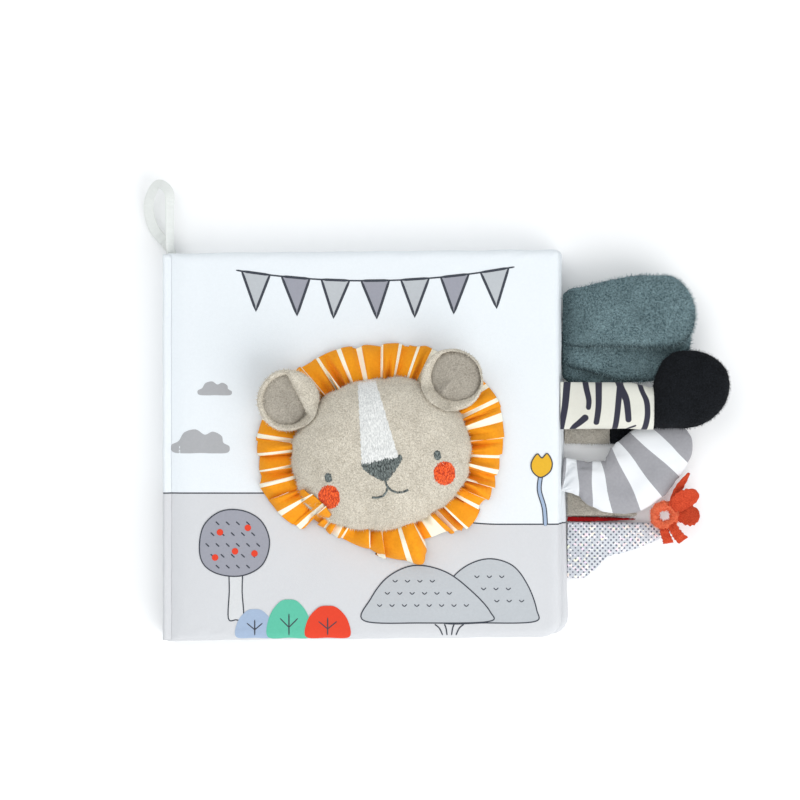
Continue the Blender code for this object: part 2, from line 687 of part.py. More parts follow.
def bridge_patch(material, collection):
    """The long white stripe down the face, in rows across so that it follows the face's crown."""
    rings = []
    for row in range(BRIDGE_ROWS + 1):
        share = row / BRIDGE_ROWS
        y = BRIDGE_TOP_Y + (BRIDGE_BOTTOM_Y - BRIDGE_TOP_Y) * share
        width = BRIDGE_TOP_WIDTH + (BRIDGE_BOTTOM_WIDTH - BRIDGE_TOP_WIDTH) * share
        xs = [width * (i / BRIDGE_COLUMNS - 0.5) for i in range(BRIDGE_COLUMNS + 1)]
        low = [on_head(Vector((x, y, face_height(x, y) - STITCH_SINK))) for x in xs]
        high = [on_head(Vector((x, y, face_height(x, y) + CLEARANCE + THREAD_THICKNESS))) for x in xs]
        rings.append(low + list(reversed(high)))
    return body_of_rings("nose_bridge", rings, material, collection)


def oval(x, y, half_width, half_height, count):
    angles = [math.tau * i / count for i in range(count)]
    return [Vector((x + half_width * math.cos(turn), y + half_height * math.sin(turn), 0)) for turn in angles]


def make_embroidery(materials, collection, cutter):
    """The stripe, nose, eyes and cheeks, each a pad of stitches seated on the face."""
    nose_y = BRIDGE_BOTTOM_Y - CLEARANCE * 2
    nose = [Vector((NOSE_WIDTH * x, nose_y + NOSE_HEIGHT * y, 0)) for x, y in NOSE_OUTLINE_SHARES]
    made = [
        bridge_patch(materials["white_thread"], collection),
        face_patch("nose", nose, materials["dark_thread"], collection),
    ]
    for side, sign in (("left", -1), ("right", 1)):
        cheek = oval(sign * CHEEK_SPREAD, CHEEK_Y, CHEEK_RADIUS, CHEEK_RADIUS, CHEEK_SEGMENTS)
        eye = oval(sign * EYE_SPREAD, EYE_Y, EYE_WIDTH / 2, EYE_HEIGHT / 2, EYE_SEGMENTS)
        made.append(face_patch(f"{side}_cheek", cheek, materials["red_thread"], collection))
        made.append(face_patch(f"{side}_eye", eye, materials["dark_thread"], collection))
    for piece in made:
        seat_on(piece, cutter)
    return made


def tail_sections(line, widths, heights, inset, first, last, square):
    """Oval sections of a tail, drawn in by a wall: across its middle line, or all square to the leaf."""
    rings = []
    for i in range(first, last):
        along = line[min(i + 1, len(line) - 1)] - line[max(i - 1, 0)]
        if square or i == 0:
            along.y = 0
        along = Vector((along.x, along.y, 0)).normalized()
        across = Vector((-along.y, along.x, 0))
        half_width = max(widths[i] / 2 - inset, CLEARANCE)
        half_height = max(heights[i] / 2 - inset, CLEARANCE)
        rings.append(
            [
                line[i]
                + across * half_width * math.cos(math.tau * k / TAIL_SEGMENTS)
                + Vector((0, 0, half_height * math.sin(math.tau * k / TAIL_SEGMENTS)))
                for k in range(TAIL_SEGMENTS)
            ]
        )
    return rings


def bag_of(name, line, widths, heights, material, collection, square=False):
    """A plush bag that is open at its sewn end and closed at its tip."""
    last = len(line)
    inner = list(reversed(tail_sections(line, widths, heights, PLUSH, 0, last - 1, square)))
    outer = tail_sections(line, widths, heights, 0, 0, last, square)
    return body_of_rings(name, inner + outer, material, collection)


def sleeve_of(name, line, widths, heights, material, collection):
    """A cloth sleeve, open at both ends."""
    inner = list(reversed(tail_sections(line, widths, heights, PLUSH, 0, len(line), True)))
    outer = tail_sections(line, widths, heights, 0, 0, len(line), True)
    return body_of_rings(name, inner + outer, material, collection, ring_joined=True)


def filling_of(name, line, widths, heights, material, collection, square=False):
    rings = tail_sections(line, widths, heights, PLUSH + 2 * CLEARANCE, 1, len(line) - 1, square)
    return body_of_rings(name, rings, material, collection)


def make_striped_tail(materials, collection):
    """The cream sleeve and the black tip, sewn end to end over one filling."""
    start = Vector((FRONT_EDGE + CLEARANCE, STRIPED_TAIL_Y, FRONT_MIDDLE))
    line = []
    widths = []
    heights = []
    for step in range(STRIPED_SLEEVE_STEPS + 1):
        share = step / STRIPED_SLEEVE_STEPS
        rise = STRIPED_TAIL_RISE * blend_share(share)
        line.append(start + Vector((STRIPED_SLEEVE_LENGTH * share, 0, rise)))
        widths.append(STRIPED_SLEEVE_WIDTH)
        grown = blend_share(share * STRIPED_GROWTH_RATE)
        heights.append(STRIPED_START_HEIGHT + (STRIPED_SLEEVE_HEIGHT - STRIPED_START_HEIGHT) * grown)
    sleeve = sleeve_of("striped_sleeve", line, widths, heights, materials["cream_cotton"], collection)
    seam = line[-1] + Vector((CLEARANCE, 0, 0))
    tip_line = []
    for along, lean in zip(TIP_ALONG_SHARES, TIP_LEAN_SHARES):
        lift = STRIPED_TIP_LIFT * math.sin(along * math.pi / 2)
        tip_line.append(seam + Vector((STRIPED_TIP_LENGTH * along, STRIPED_TIP_LEAN * lean, lift)))
    tip_widths = [STRIPED_TIP_WIDTH * share for share in TIP_WIDTH_SHARES]
    tip_heights = [STRIPED_TIP_HEIGHT * share for share in TIP_HEIGHT_SHARES]
    tip = bag_of("black_tip", tip_line, tip_widths, tip_heights, materials["black_plush"], collection, True)
    narrow = [min(STRIPED_SLEEVE_WIDTH, tip_widths[0])] + tip_widths[1:]
    low = [min(STRIPED_SLEEVE_HEIGHT, tip_heights[0])] + tip_heights[1:]
    filling = filling_of(
        "striped_tail_filling", line + tip_line, widths + narrow, heights + low,
        materials["filling"], collection, True,
    )
    return [sleeve, tip, filling]


def back_edge_at(y):
    """Where the back cover's slanting outer edge lies at a height up the page."""
    share = (y + HALF_HEIGHT) / LEAF_HEIGHT
    return HINGE_X + BACK_WIDTH_AT_BOTTOM + (BACK_WIDTH_AT_TOP - BACK_WIDTH_AT_BOTTOM) * share


def make_beige_tail(materials, collection):
    """The short beige tail of the back cover, with its black end and its filling."""
    edge = back_edge_at(BEIGE_TAIL_Y - BEIGE_TAIL_WIDTH / 2)
    start = Vector((edge + CLEARANCE, BEIGE_TAIL_Y, BACK_MIDDLE))
    settle = BEIGE_TAIL_LEVEL - BACK_MIDDLE
    line = []
    heights = []
    for step in range(BEIGE_SLEEVE_STEPS + 1):
        share = step / BEIGE_SLEEVE_STEPS
        line.append(start + Vector((BEIGE_SLEEVE_LENGTH * share, 0, settle * blend_share(share))))
        grown = blend_share(share * BEIGE_GROWTH_RATE)
        heights.append(BEIGE_START_HEIGHT + (BEIGE_TAIL_HEIGHT - BEIGE_START_HEIGHT) * grown)
    widths = [BEIGE_TAIL_WIDTH] * len(line)
    sleeve = sleeve_of("beige_sleeve", line, widths, heights, materials["beige_plush"], collection)
    seam = line[-1] + Vector((CLEARANCE, 0, 0))
    tip_line = [seam + Vector((BEIGE_TIP_LENGTH * share, 0, 0)) for share in BEIGE_TIP_ALONG_SHARES]
    tip_widths = [BEIGE_TAIL_WIDTH * share for share in BEIGE_TIP_WIDTH_SHARES]
    tip_heights = [BEIGE_TAIL_HEIGHT * share for share in BEIGE_TIP_HEIGHT_SHARES]
    tip = bag_of("beige_tail_tip", tip_line, tip_widths, tip_heights, materials["black_plush"], collection)
    filling = filling_of(
        "beige_tail_filling", line + tip_line, widths + tip_widths, heights + tip_heights,
        materials["filling"], collection,
    )
    return [sleeve, tip, filling]


def make_curved_tail(materials, collection):
    """The broad tail that sweeps out and up, a plush bag over its filling."""
    start_x = MIDDLE_EDGE + CLEARANCE
    tables = zip(CURVED_ALONG_SHARES, CURVED_UP_SHARES, CURVED_WIDTH_SHARES, CURVED_HEIGHT_SHARES)
    rows = spline([Vector(row) for row in tables], CURVED_STEPS, False)
    line = []
    for row in rows:
        level = LEAF_MIDDLE + (CURVED_LEVEL - LEAF_MIDDLE) * blend_share(row[0] * CURVED_SETTLING_RATE)
        y = CURVED_TAIL_Y + (CURVED_CLIMB + CURVED_DIP) * (row[1] - CURVED_UP_SHARES[0])
        line.append(Vector((start_x + CURVED_REACH * row[0], y, level)))
    widths = [CURVED_WIDTH * row[2] for row in rows]
    heights = [CURVED_HEIGHT * row[3] for row in rows]
    bag = bag_of("curved_tail", line, widths, heights, materials["grey_cotton"], collection)
    filling = filling_of("curved_tail_filling", line, widths, heights, materials["filling"], collection)
    return [bag, filling]


def padded_flap(name, outline, seam, level, height, material, collection):
    """A soft flat form inside an outline: thin where it is sewn in, and swelling away from there."""
    middle = sum(outline, Vector((0, 0, 0))) / len(outline)
    seam_x, seam_z = seam
    rings = []
    rim = ((1.0, 0.0),)
    for up, shares in ((-1, PAD_SIDE_SHARES), (0, rim), (1, tuple(reversed(PAD_SIDE_SHARES)))):
        for out, share in shares:
            ring = []
            for point in outline:
                place = middle.lerp(point, out)
                settled = blend_share((place.x - seam_x) / SETTLE)
                half = SEAM_HALF + (height / 2 - SEAM_HALF) * settled
                z = seam_z + (level - seam_z) * settled + up * half * share
                ring.append(Vector((place.x, place.y, z)))
            rings.append(ring)
    return body_of_rings(name, rings, material, collection)


def outline_of(shares, corner, length, width, steps=OUTLINE_STEPS):
    """A smooth closed outline from shares of a length and a width, kept inside the shares' own limits."""
    x, y = corner
    points = [Vector((x + length * a, y + width * b, 0)) for a, b in shares]
    loop = spline(points, steps, True)
    low = min(point.y for point in points)
    high = max(point.y for point in points)
    for point in loop:
        point.x = max(point.x, x)
        point.y = min(max(point.y, low), high)
    return loop


def make_flaps(material, collection):
    """Three layers of teal plush, the uppermost over the others."""
    x = MIDDLE_EDGE + CLEARANCE
    under = FLAP_LEVEL + FLAP_UNDER_HEIGHT + CLEARANCE
    top = under + FLAP_UNDER_HEIGHT / 2 + CLEARANCE + FLAP_TOP_HEIGHT / 2
    layers = (
        ("lower_teal_flap", LOWER_OUTLINE_SHARES, FLAP_LOWER_LENGTH, FLAP_LOWER_WIDTH, FLAP_LOWER_Y,
         LEAF_MIDDLE - FLAP_SEAM_STEP, FLAP_LEVEL, FLAP_UNDER_HEIGHT),
        ("middle_teal_flap", MIDDLE_OUTLINE_SHARES, FLAP_MIDDLE_LENGTH, FLAP_MIDDLE_WIDTH, FLAP_MIDDLE_Y,
         LEAF_MIDDLE, under, FLAP_UNDER_HEIGHT),
        ("top_teal_flap", FLAP_OUTLINE_SHARES, FLAP_LENGTH, FLAP_WIDTH, FLAP_Y,
         LEAF_MIDDLE + FLAP_SEAM_STEP, top, FLAP_TOP_HEIGHT),
    )
    made = []
    for name, shares, length, width, y, seam_z, level, height in layers:
        outline = outline_of(shares, (x, y), length, width)
        made.append(padded_flap(name, outline, (x, seam_z), level, height, material, collection))
    return made


def make_fin(materials, collection):
    """The fish tail: a glitter panel, the red felt edge over it, and beige plush behind."""
    x = back_edge_at(FIN_Y - FIN_WIDTH - FIN_EDGE_WIDTH) + CLEARANCE
    half_edge = FIN_EDGE_WIDTH / 2
    seam = (x, BACK_MIDDLE)
    corner = (x, FIN_Y - half_edge - CLEARANCE)
    panel = outline_of(FIN_OUTLINE_SHARES, corner, FIN_LENGTH, FIN_WIDTH, steps=FIN_OUTLINE_STEPS)
    silver = materials["glitter_cloth"]
    made = [padded_flap("glitter_fin", panel, seam, FIN_LEVEL, FIN_HEIGHT, silver, collection)]
    strip = outline_of(FIN_EDGE_OUTLINE_SHARES, (x, FIN_Y), FIN_EDGE_LENGTH, FIN_EDGE_WIDTH)
    felt = materials["red_felt"]
    made.append(padded_flap("red_fin_edge", strip, seam, FIN_LEVEL, FIN_EDGE_HEIGHT, felt, collection))
    plush = outline_of(
        FIN_PLUSH_OUTLINE_SHARES, (x, FIN_Y + half_edge + CLEARANCE), FIN_PLUSH_LENGTH, FIN_PLUSH_WIDTH
    )
    beige = materials["beige_plush"]
    made.append(padded_flap("beige_fin_plush", plush, seam, FIN_LEVEL, FIN_HEIGHT, beige, collection))
    return made


def make_tassel(material, collection):
    """A chenille ring and the felt petals that fan out of it."""
    middle = Vector((MIDDLE_EDGE + RING_FROM_SEAM, CURVED_TAIL_Y - RING_BELOW_TAIL, CURVED_LEVEL))
    rings = []
    for i in range(RING_SEGMENTS):
        angle = math.tau * i / RING_SEGMENTS
        out = Vector((math.cos(angle), math.sin(angle), 0))
        turns = [math.tau * k / WIRE_SEGMENTS for k in range(WIRE_SEGMENTS)]
        rings.append(
            [
                middle
                + out * (RING_RADIUS + RING_WIRE * math.cos(turn))
                + Vector((0, 0, RING_WIRE * math.sin(turn)))
                for turn in turns
            ]
        )
    made = [body_of_rings("tassel_ring", rings, material, collection, ring_joined=True)]
    for number, turn in enumerate(PETAL_TURNS):
        out = Vector((math.cos(turn), math.sin(turn), 0))
        across = Vector((-out.y, out.x, 0))
        reach = PETAL_REACH * PETAL_REACH_SHARES[number]
        width = PETAL_WIDTH * PETAL_WIDTH_SHARES[number]
        begin = middle + out * (RING_RADIUS + RING_WIRE + CLEARANCE)
        rings = []
        for step in range(PETAL_STEPS + 1):
            share = step / PETAL_STEPS
            flared = math.sin(min(share * PETAL_FLARE_RATE, 1) * math.pi / 2)
            half = width / 2 * (PETAL_ROOT_SHARE + (1 - PETAL_ROOT_SHARE) * flared)
            if step == PETAL_STEPS:
                half *= PETAL_END_SHARE
            lift = PETAL_LIFTS[number] + PETAL_CURL * math.sin(share * math.pi)
            place = begin + out * reach * share + Vector((0, 0, lift))
            rings.append(strip_section(place, across * half, Vector((0, 0, PETAL_THICKNESS / 2))))
        made.append(body_of_rings(f"tassel_petal_{number + 1}", rings, material, collection))
    return made


def build():
    clear_scene()
    book = bpy.data.collections.new("crinkle_cloth_book")
    bpy.context.scene.collection.children.link(book)
    cutters = bpy.data.collections.new("cutters")
    bpy.context.scene.collection.children.link(cutters)
    materials = {name: make_material(name) for name in MATERIALS}
    cloth = (materials["printed_cotton"], materials["page_cotton"], materials["crinkle_film"])

    back_widths = (BACK_WIDTH_AT_TOP, BACK_WIDTH_AT_BOTTOM)
    make_leaf("back_cover", "inner", "outer", back_widths, BACK_MIDDLE, cloth, book)
    make_spine_band(materials["printed_cotton"], book)
    make_hanging_loop(materials["ribbon"], book)
    make_beige_tail(materials, book)
    make_fin(materials, book)

    middle_pivot = pivot_at("middle_leaf_hinge", (HINGE_X, 0, LEAF_MIDDLE), book)
    front_pivot = pivot_at("front_cover_hinge", (HINGE_X, 0, FRONT_MIDDLE), book)
    fold = (FRONT_EDGE + CLEARANCE, STRIPED_TAIL_Y, FRONT_MIDDLE + STRIPED_START_HEIGHT / 2)
    tail_pivot = pivot_at("striped_tail_hinge", fold, book)
    bpy.context.view_layer.update()

    middle_widths = (MIDDLE_WIDTH, MIDDLE_WIDTH)
    turning = make_leaf("middle_leaf", "front", "back", middle_widths, LEAF_MIDDLE, cloth, book)
    turning += make_flaps(materials["teal_plush"], book)
    turning += make_curved_tail(materials, book)
    turning += make_tassel(materials["orange_felt"], book)
    for piece in turning:
        hang_on(piece, middle_pivot)

    front_widths = (LEAF_WIDTH, LEAF_WIDTH)
    cover = make_leaf("front_cover", "outer", "inner", front_widths, FRONT_MIDDLE, cloth, book)
    cover += make_head(materials, book)
    cover.append(make_mane(materials["mane_cotton"], book))
    widest = FACE_OUT_SHARES.index(max(FACE_OUT_SHARES))
    above = head_rings(-CLEARANCE, FACE_BASE + CLEARANCE, HEAD_RISE, first=widest)
    foot = [Vector((point.x, point.y, HEAD_BASE - CUT_OVERRUN)) for point in above[0]]
    seat = body_of_rings("ear_seat_cutter", [foot] + above, materials["filling"], cutters)
    seat.hide_render = True
    seat.display_type = "WIRE"
    cover += make_ear("right", RIGHT_EAR_X, RIGHT_EAR_Y, materials, book, seat)
    cover += make_ear("left", LEFT_EAR_X, LEFT_EAR_Y, materials, book, seat)
    cover += make_embroidery(materials, book, seat)
    for piece in cover:
        hang_on(piece, front_pivot)
    for piece in make_striped_tail(materials, book):
        hang_on(piece, tail_pivot)
    hang_on(front_pivot, middle_pivot)
    hang_on(tail_pivot, front_pivot)


build()
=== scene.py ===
import json
import math
import random

import bmesh
import bpy
from mathutils import Matrix, Vector, noise
from mathutils.bvhtree import BVHTree
from mathutils.kdtree import KDTree


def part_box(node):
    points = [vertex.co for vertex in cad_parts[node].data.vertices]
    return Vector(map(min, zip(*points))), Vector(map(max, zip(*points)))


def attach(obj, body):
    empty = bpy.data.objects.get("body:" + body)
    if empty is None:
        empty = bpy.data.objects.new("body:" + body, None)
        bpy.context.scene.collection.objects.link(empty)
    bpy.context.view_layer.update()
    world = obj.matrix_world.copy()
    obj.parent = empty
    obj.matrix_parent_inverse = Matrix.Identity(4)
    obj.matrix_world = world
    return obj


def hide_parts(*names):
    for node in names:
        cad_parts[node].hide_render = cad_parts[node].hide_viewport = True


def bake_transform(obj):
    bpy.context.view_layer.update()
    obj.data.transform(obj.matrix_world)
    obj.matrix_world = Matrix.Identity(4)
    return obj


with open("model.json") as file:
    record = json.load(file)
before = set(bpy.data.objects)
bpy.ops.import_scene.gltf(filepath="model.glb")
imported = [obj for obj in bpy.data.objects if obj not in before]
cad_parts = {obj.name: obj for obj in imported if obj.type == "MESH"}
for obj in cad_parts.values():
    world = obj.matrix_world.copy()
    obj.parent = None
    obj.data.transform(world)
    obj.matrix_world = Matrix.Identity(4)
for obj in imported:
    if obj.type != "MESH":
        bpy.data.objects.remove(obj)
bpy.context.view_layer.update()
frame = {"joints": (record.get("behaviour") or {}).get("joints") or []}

MM = 0.001
WHITE = (1.0, 1.0, 1.0)


def linked(name, data):
    """A new object in the scene with the given data."""
    made = bpy.data.objects.new(name, data)
    bpy.context.scene.collection.objects.link(made)
    return made


def uneven(x, y, z):
    """A smooth noise between -1 and 1 at a place."""
    return noise.noise(Vector((x, y, z)))


# Camera. It looks straight down on the closed book from a metre away, so that the frame is 362 mm wide at
# the front cover, and its middle lies to the right of the cover's middle and above it.
VIEW_WIDTH = 361.8 * MM
VIEW_X = 17.2 * MM
VIEW_Y = 20.8 * MM
LENS = 100.0
SENSOR = 36.0

COVER_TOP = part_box("front_cover_outer")[1].z

camera_data = bpy.data.cameras.new("camera")
camera_data.lens = LENS
camera_data.sensor_width = SENSOR
camera = linked("camera", camera_data)
camera.location = (VIEW_X, VIEW_Y, COVER_TOP + VIEW_WIDTH * LENS / SENSOR)
bpy.context.scene.camera = camera


# Hanging loop. A ribbed cotton tape, folded in two and sewn in at the head of the spine, where its ends
# cross.
TAPE_WIDTH = 6.0 * MM
TAPE_THICKNESS = 0.9 * MM
TAPE_TURNS = (math.radians(48), math.radians(58), math.radians(50), math.radians(34), math.radians(30))
TAPE_COLOUR = (0.83, 0.85, 0.82)
TAPE_RIB = 0.75 * MM
TAPE_RIB_DEPTH = 0.16 * MM
TAPE_SELVEDGE_SHARE = 0.80
LOOP_HALF_WIDTH = 4.8 * MM
LOOP_RISE = 31.8 * MM
LOOP_LEAN = 2.4 * MM
LOOP_CROSSING = 6.2 * MM
LOOP_FOOT_IN = 3.0 * MM
SPINE_PAST_LEAF = 1.1 * MM
TAPE_STEPS = 18
TAPE_SIDES = 12
TAPE_PITCH = 0.5 * MM
TAPE_WEAVE_DEPTH = 0.06 * MM
# the tape's route: out from the sewn foot or from the loop's middle, up, and over from one layer to the
# other
LOOP_ROUTE_SHARES = (
    ("foot", 0.0, 0.0, -0.5), ("foot", -0.5, 0.14, -0.5), ("middle", -0.72, 0.40, -0.5),
    ("middle", -1.1, 0.74, -0.25), ("middle", -0.25, 1.0, 0.0), ("middle", 0.85, 0.90, 0.25),
    ("middle", 1.0, 0.62, 0.5), ("foot", -0.1, 0.16, 0.5), ("foot", 0.0, 0.0, 0.5),
)


def spline(points, steps, closed=False):
    """Points along a smooth curve through the given ones."""
    count = len(points)
    made = []
    for span in range(count if closed else count - 1):
        if closed:
            a, b, c, d = (points[(span + k) % count] for k in (-1, 0, 1, 2))
        else:
            a, b, c, d = (points[min(max(span + k, 0), count - 1)] for k in (-1, 0, 1, 2))
        for step in range(steps):
            t = step / steps
            made.append(
                0.5 * (2 * b + (c - a) * t + (2 * a - 5 * b + 4 * c - d) * t**2
                       + (3 * b - a - 3 * c + d) * t**3)
            )
    if not closed:
        made.append(points[-1].copy())
    return made


def at_share(table, share):
    """The value of an evenly spaced table at a share of its length, with straight lines between."""
    place = min(max(share, 0), 1) * (len(table) - 1)
    low = min(int(place), len(table) - 2)
    return table[low] + (table[low + 1] - table[low]) * (place - low)


def eased(share):
    """A smooth step from 0 to 1."""
    share = min(max(share, 0), 1)
    return share * share * (3 - 2 * share)


def cloth_piece(name, rows, materials, around=True, ends="open", places=None, pick=None):
    """A mesh through rows of points. places holds each point's place on the flat cloth, for weave and print,
    and pick says which of the materials a row of faces gets."""
    mesh = bpy.data.meshes.new(name)
    made = bmesh.new()
    cloth = made.loops.layers.uv.new("cloth")
    points = [[made.verts.new(point) for point in row] for row in rows]
    count = len(points[0])
    for r in range(len(points) - 1):
        for i in range(count if around else count - 1):
            j = (i + 1) % count
            face = made.faces.new((points[r][i], points[r][j], points[r + 1][j], points[r + 1][i]))
            face.material_index = pick(r) if pick else 0
            if places:
                for loop, (row, column) in zip(face.loops, ((r, i), (r, i + 1), (r + 1, i + 1), (r + 1, i))):
                    loop[cloth].uv = places[row][column]
    if ends == "closed":
        for row, last in ((points[0], False), (points[-1], True)):
            face = made.faces.new(row if last else list(reversed(row)))
            face.material_index = pick(len(points) - 2 if last else 0) if pick else 0
    bmesh.ops.recalc_face_normals(made, faces=made.faces)
    made.to_mesh(mesh)
    made.free()
    mesh.shade_smooth()
    for material in materials:
        mesh.materials.append(material)
    return linked(name, mesh)


def node_group(name, inputs, outputs):
    """An empty shader node group with its sockets, and its inner ends."""
    group = bpy.data.node_groups.new(name, "ShaderNodeTree")
    for label, kind, value in inputs:
        socket = group.interface.new_socket(label, in_out="INPUT", socket_type=kind)
        if value is not None:
            socket.default_value = value
    for label, kind in outputs:
        group.interface.new_socket(label, in_out="OUTPUT", socket_type=kind)
    return group, group.nodes.new("NodeGroupInput").outputs, group.nodes.new("NodeGroupOutput").inputs


def node(tree, kind, given=None, **settings):
    """A shader node with its settings and its inputs, each a value or another node's output."""
    made = tree.nodes.new(kind)
    for key, value in settings.items():
        setattr(made, key, value)
    for key, value in (given or {}).items():
        if isinstance(value, bpy.types.NodeSocket):
            tree.links.new(value, made.inputs[key])
        else:
            made.inputs[key].default_value = value
    return made


def maths(tree, operation, *values):
    """The result of one Math node."""
    return node(tree, "ShaderNodeMath", dict(enumerate(values)), operation=operation).outputs[0]


def mixed(tree, share, dark, light, blend="MIX"):
    """A colour between two colours, each three numbers or another node's output."""
    dark, light = (part if isinstance(part, bpy.types.NodeSocket) else (*part, 1) for part in (dark, light))
    return node(
        tree, "ShaderNodeMix", {0: share, 6: dark, 7: light}, data_type="RGBA", blend_type=blend
    ).outputs[2]


# A plain weave: threads of one pitch crossing over and under, a little uneven in height and in shade.
weave, weave_in, weave_out = node_group(
    "plain_weave",
    [("Place", "NodeSocketVector", None), ("Pitch", "NodeSocketFloat", 0.0004)],
    [("Height", "NodeSocketFloat"), ("Shade", "NodeSocketFloat")],
)
SLUB_SCALE = 900.0
axes = node(weave, "ShaderNodeSeparateXYZ", {0: weave_in["Place"]}).outputs
threads = maths(weave, "DIVIDE", math.tau, weave_in["Pitch"])
warp = maths(weave, "SINE", maths(weave, "MULTIPLY", axes[0], threads))
weft = maths(weave, "SINE", maths(weave, "MULTIPLY", axes[1], threads))
slubs = node(weave, "ShaderNodeTexNoise", {"Vector": weave_in["Place"], "Scale": SLUB_SCALE, "Detail": 2.0})
crossing = maths(weave, "MULTIPLY", warp, weft)
weave.links.new(maths(weave, "ADD", maths(weave, "MULTIPLY", crossing, 0.5), slubs.outputs[0]),
                weave_out["Height"])
weave.links.new(slubs.outputs[0], weave_out["Shade"])


def cloth_material(name, roughness, sheen=0.0, sheen_tint=(1, 1, 1)):
    """A material with its shader, where what is the same all over the cloth is set."""
    material = bpy.data.materials.new(name)
    material.use_nodes = True
    shader = material.node_tree.nodes["Principled BSDF"]
    shader.inputs["Roughness"].default_value = roughness
    shader.inputs["Sheen Weight"].default_value = sheen
    shader.inputs["Sheen Roughness"].default_value = 0.45
    shader.inputs["Sheen Tint"].default_value = (*sheen_tint, 1)
    shader.inputs["Specular IOR Level"].default_value = 0.15
    return material, material.node_tree, shader


def bumped(tree, shader, height, depth):
    """Feeds a height to the shader's normal, depth being how deep it goes in metres."""
    bump = node(tree, "ShaderNodeBump", {"Height": height, "Distance": depth, "Strength": 1.0})
    tree.links.new(bump.outputs[0], shader.inputs["Normal"])


def group_node(tree, group, given):
    """The outputs of a node group with its given inputs."""
    return node(tree, "ShaderNodeGroup", given, node_tree=group).outputs


def woven_material(name, colour, pitch=0.4 * MM, depth=0.05 * MM, flat=False, shade=0.93, sheen=0.15):
    """Plain cotton of one colour. flat takes the weave from the cloth's places and not from the object."""
    material, tree, shader = cloth_material(name, 0.85, sheen)
    place = node(tree, "ShaderNodeTexCoord").outputs["UV" if flat else "Object"]
    cotton = group_node(tree, weave, {"Place": place, "Pitch": pitch})
    dark = tuple(part * shade for part in colour)
    tree.links.new(mixed(tree, cotton["Shade"], dark, colour), shader.inputs["Base Color"])
    bumped(tree, shader, cotton["Height"], depth)
    return material


foot_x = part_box("back_cover_outer")[0].x - SPINE_PAST_LEAF + LOOP_FOOT_IN
foot_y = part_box("hanging_loop")[0].y
middle_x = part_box("back_cover_outer")[0].x - SPINE_PAST_LEAF - LOOP_LEAN
leaf_middle = sum((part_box(half)[0].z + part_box(half)[1].z) / 2
                  for half in ("middle_leaf_front", "middle_leaf_back")) / 2
tape_guide = [
    Vector(((foot_x if side == "foot" else middle_x) + LOOP_HALF_WIDTH * out, foot_y + LOOP_RISE * up,
            leaf_middle + LOOP_CROSSING * over))
    for side, out, up, over in LOOP_ROUTE_SHARES
]
tape_line = spline(tape_guide, TAPE_STEPS)
tape_rows = []
tape_places = []
tape_length = 0.0
for i, place in enumerate(tape_line):
    along = (tape_line[min(i + 1, len(tape_line) - 1)] - tape_line[max(i - 1, 0)]).normalized()
    if i in (0, len(tape_line) - 1):
        along = Vector((0, math.copysign(1, along.y), 0))
    if i:
        tape_length += (place - tape_line[i - 1]).length
    out = along.cross(Vector((0, 0, 1))).normalized()
    up = out.cross(along).normalized()
    turn = at_share(TAPE_TURNS, i / (len(tape_line) - 1))
    face = up * math.cos(turn) + out * math.sin(turn)
    thin = along.cross(face).normalized()
    rib = TAPE_RIB_DEPTH * math.cos(math.tau * tape_length / TAPE_RIB)
    row = []
    for k in range(TAPE_SIDES):
        angle = math.tau * k / TAPE_SIDES
        across = math.copysign(abs(math.cos(angle)) ** 0.5, math.cos(angle))
        high = math.copysign(abs(math.sin(angle)) ** 0.5, math.sin(angle))
        ribbed = rib if abs(across) < TAPE_SELVEDGE_SHARE else 0
        row.append(place + face * (TAPE_WIDTH / 2) * across + thin * (TAPE_THICKNESS / 2 + ribbed) * high)
    tape_rows.append(row)
    tape_places.append([(tape_length, TAPE_WIDTH * k / (TAPE_SIDES // 2)) for k in range(TAPE_SIDES + 1)])
tape = woven_material("tape_cotton", TAPE_COLOUR, pitch=TAPE_PITCH, depth=TAPE_WEAVE_DEPTH, flat=True)
hanging_loop = cloth_piece("hanging_tape", tape_rows, [tape], ends="closed", places=tape_places)
hanging_loop.modifiers.new("smooth", "SUBSURF").render_levels = 1
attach(hanging_loop, "back_cover")
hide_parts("hanging_loop")


# Table and light. A white table, a large soft lamp from the lower right, a weaker one from the upper
# left, and a third from above.
TABLE_SIZE = 4.0
TABLE_DROP = 0.1 * MM
TABLE_COLOUR = (0.97, 0.97, 0.97)
DAY_COLOUR = (0.93, 0.97, 1.0)
DAY_STRENGTH = 0.58
LAMPS = (
    ("window_lamp", (0.75, -0.85, 0.85), 1.5, 14.2),
    ("fill_lamp", (-0.70, 0.55, 1.10), 1.5, 5.6),
    ("top_lamp", (0.05, 0.05, 1.50), 1.4, 3.6),
)
LAMP_AIM = Vector((0.0, 0.0, 0.0))

table_mesh = bpy.data.meshes.new("table")
half = TABLE_SIZE / 2
table_mesh.from_pydata(
    [(-half, -half, -TABLE_DROP), (half, -half, -TABLE_DROP),
     (half, half, -TABLE_DROP), (-half, half, -TABLE_DROP)],
    [],
    [(0, 1, 2, 3)],
)
table_material = bpy.data.materials.new("table_white")
table_material.use_nodes = True
table_shader = table_material.node_tree.nodes["Principled BSDF"]
table_shader.inputs["Base Color"].default_value = (*TABLE_COLOUR, 1)
table_shader.inputs["Roughness"].default_value = 0.9
table_shader.inputs["Specular IOR Level"].default_value = 0.0
table_mesh.materials.append(table_material)
table = linked("table", table_mesh)

for lamp_name, lamp_place, lamp_size, lamp_power in LAMPS:
    lamp_data = bpy.data.lights.new(lamp_name, "AREA")
    lamp_data.shape = "DISK"
    lamp_data.size = lamp_size
    lamp_data.energy = lamp_power
    lamp = linked(lamp_name, lamp_data)
    lamp.location = lamp_place
    lamp.rotation_euler = (LAMP_AIM - Vector(lamp_place)).to_track_quat("-Z", "Y").to_euler()

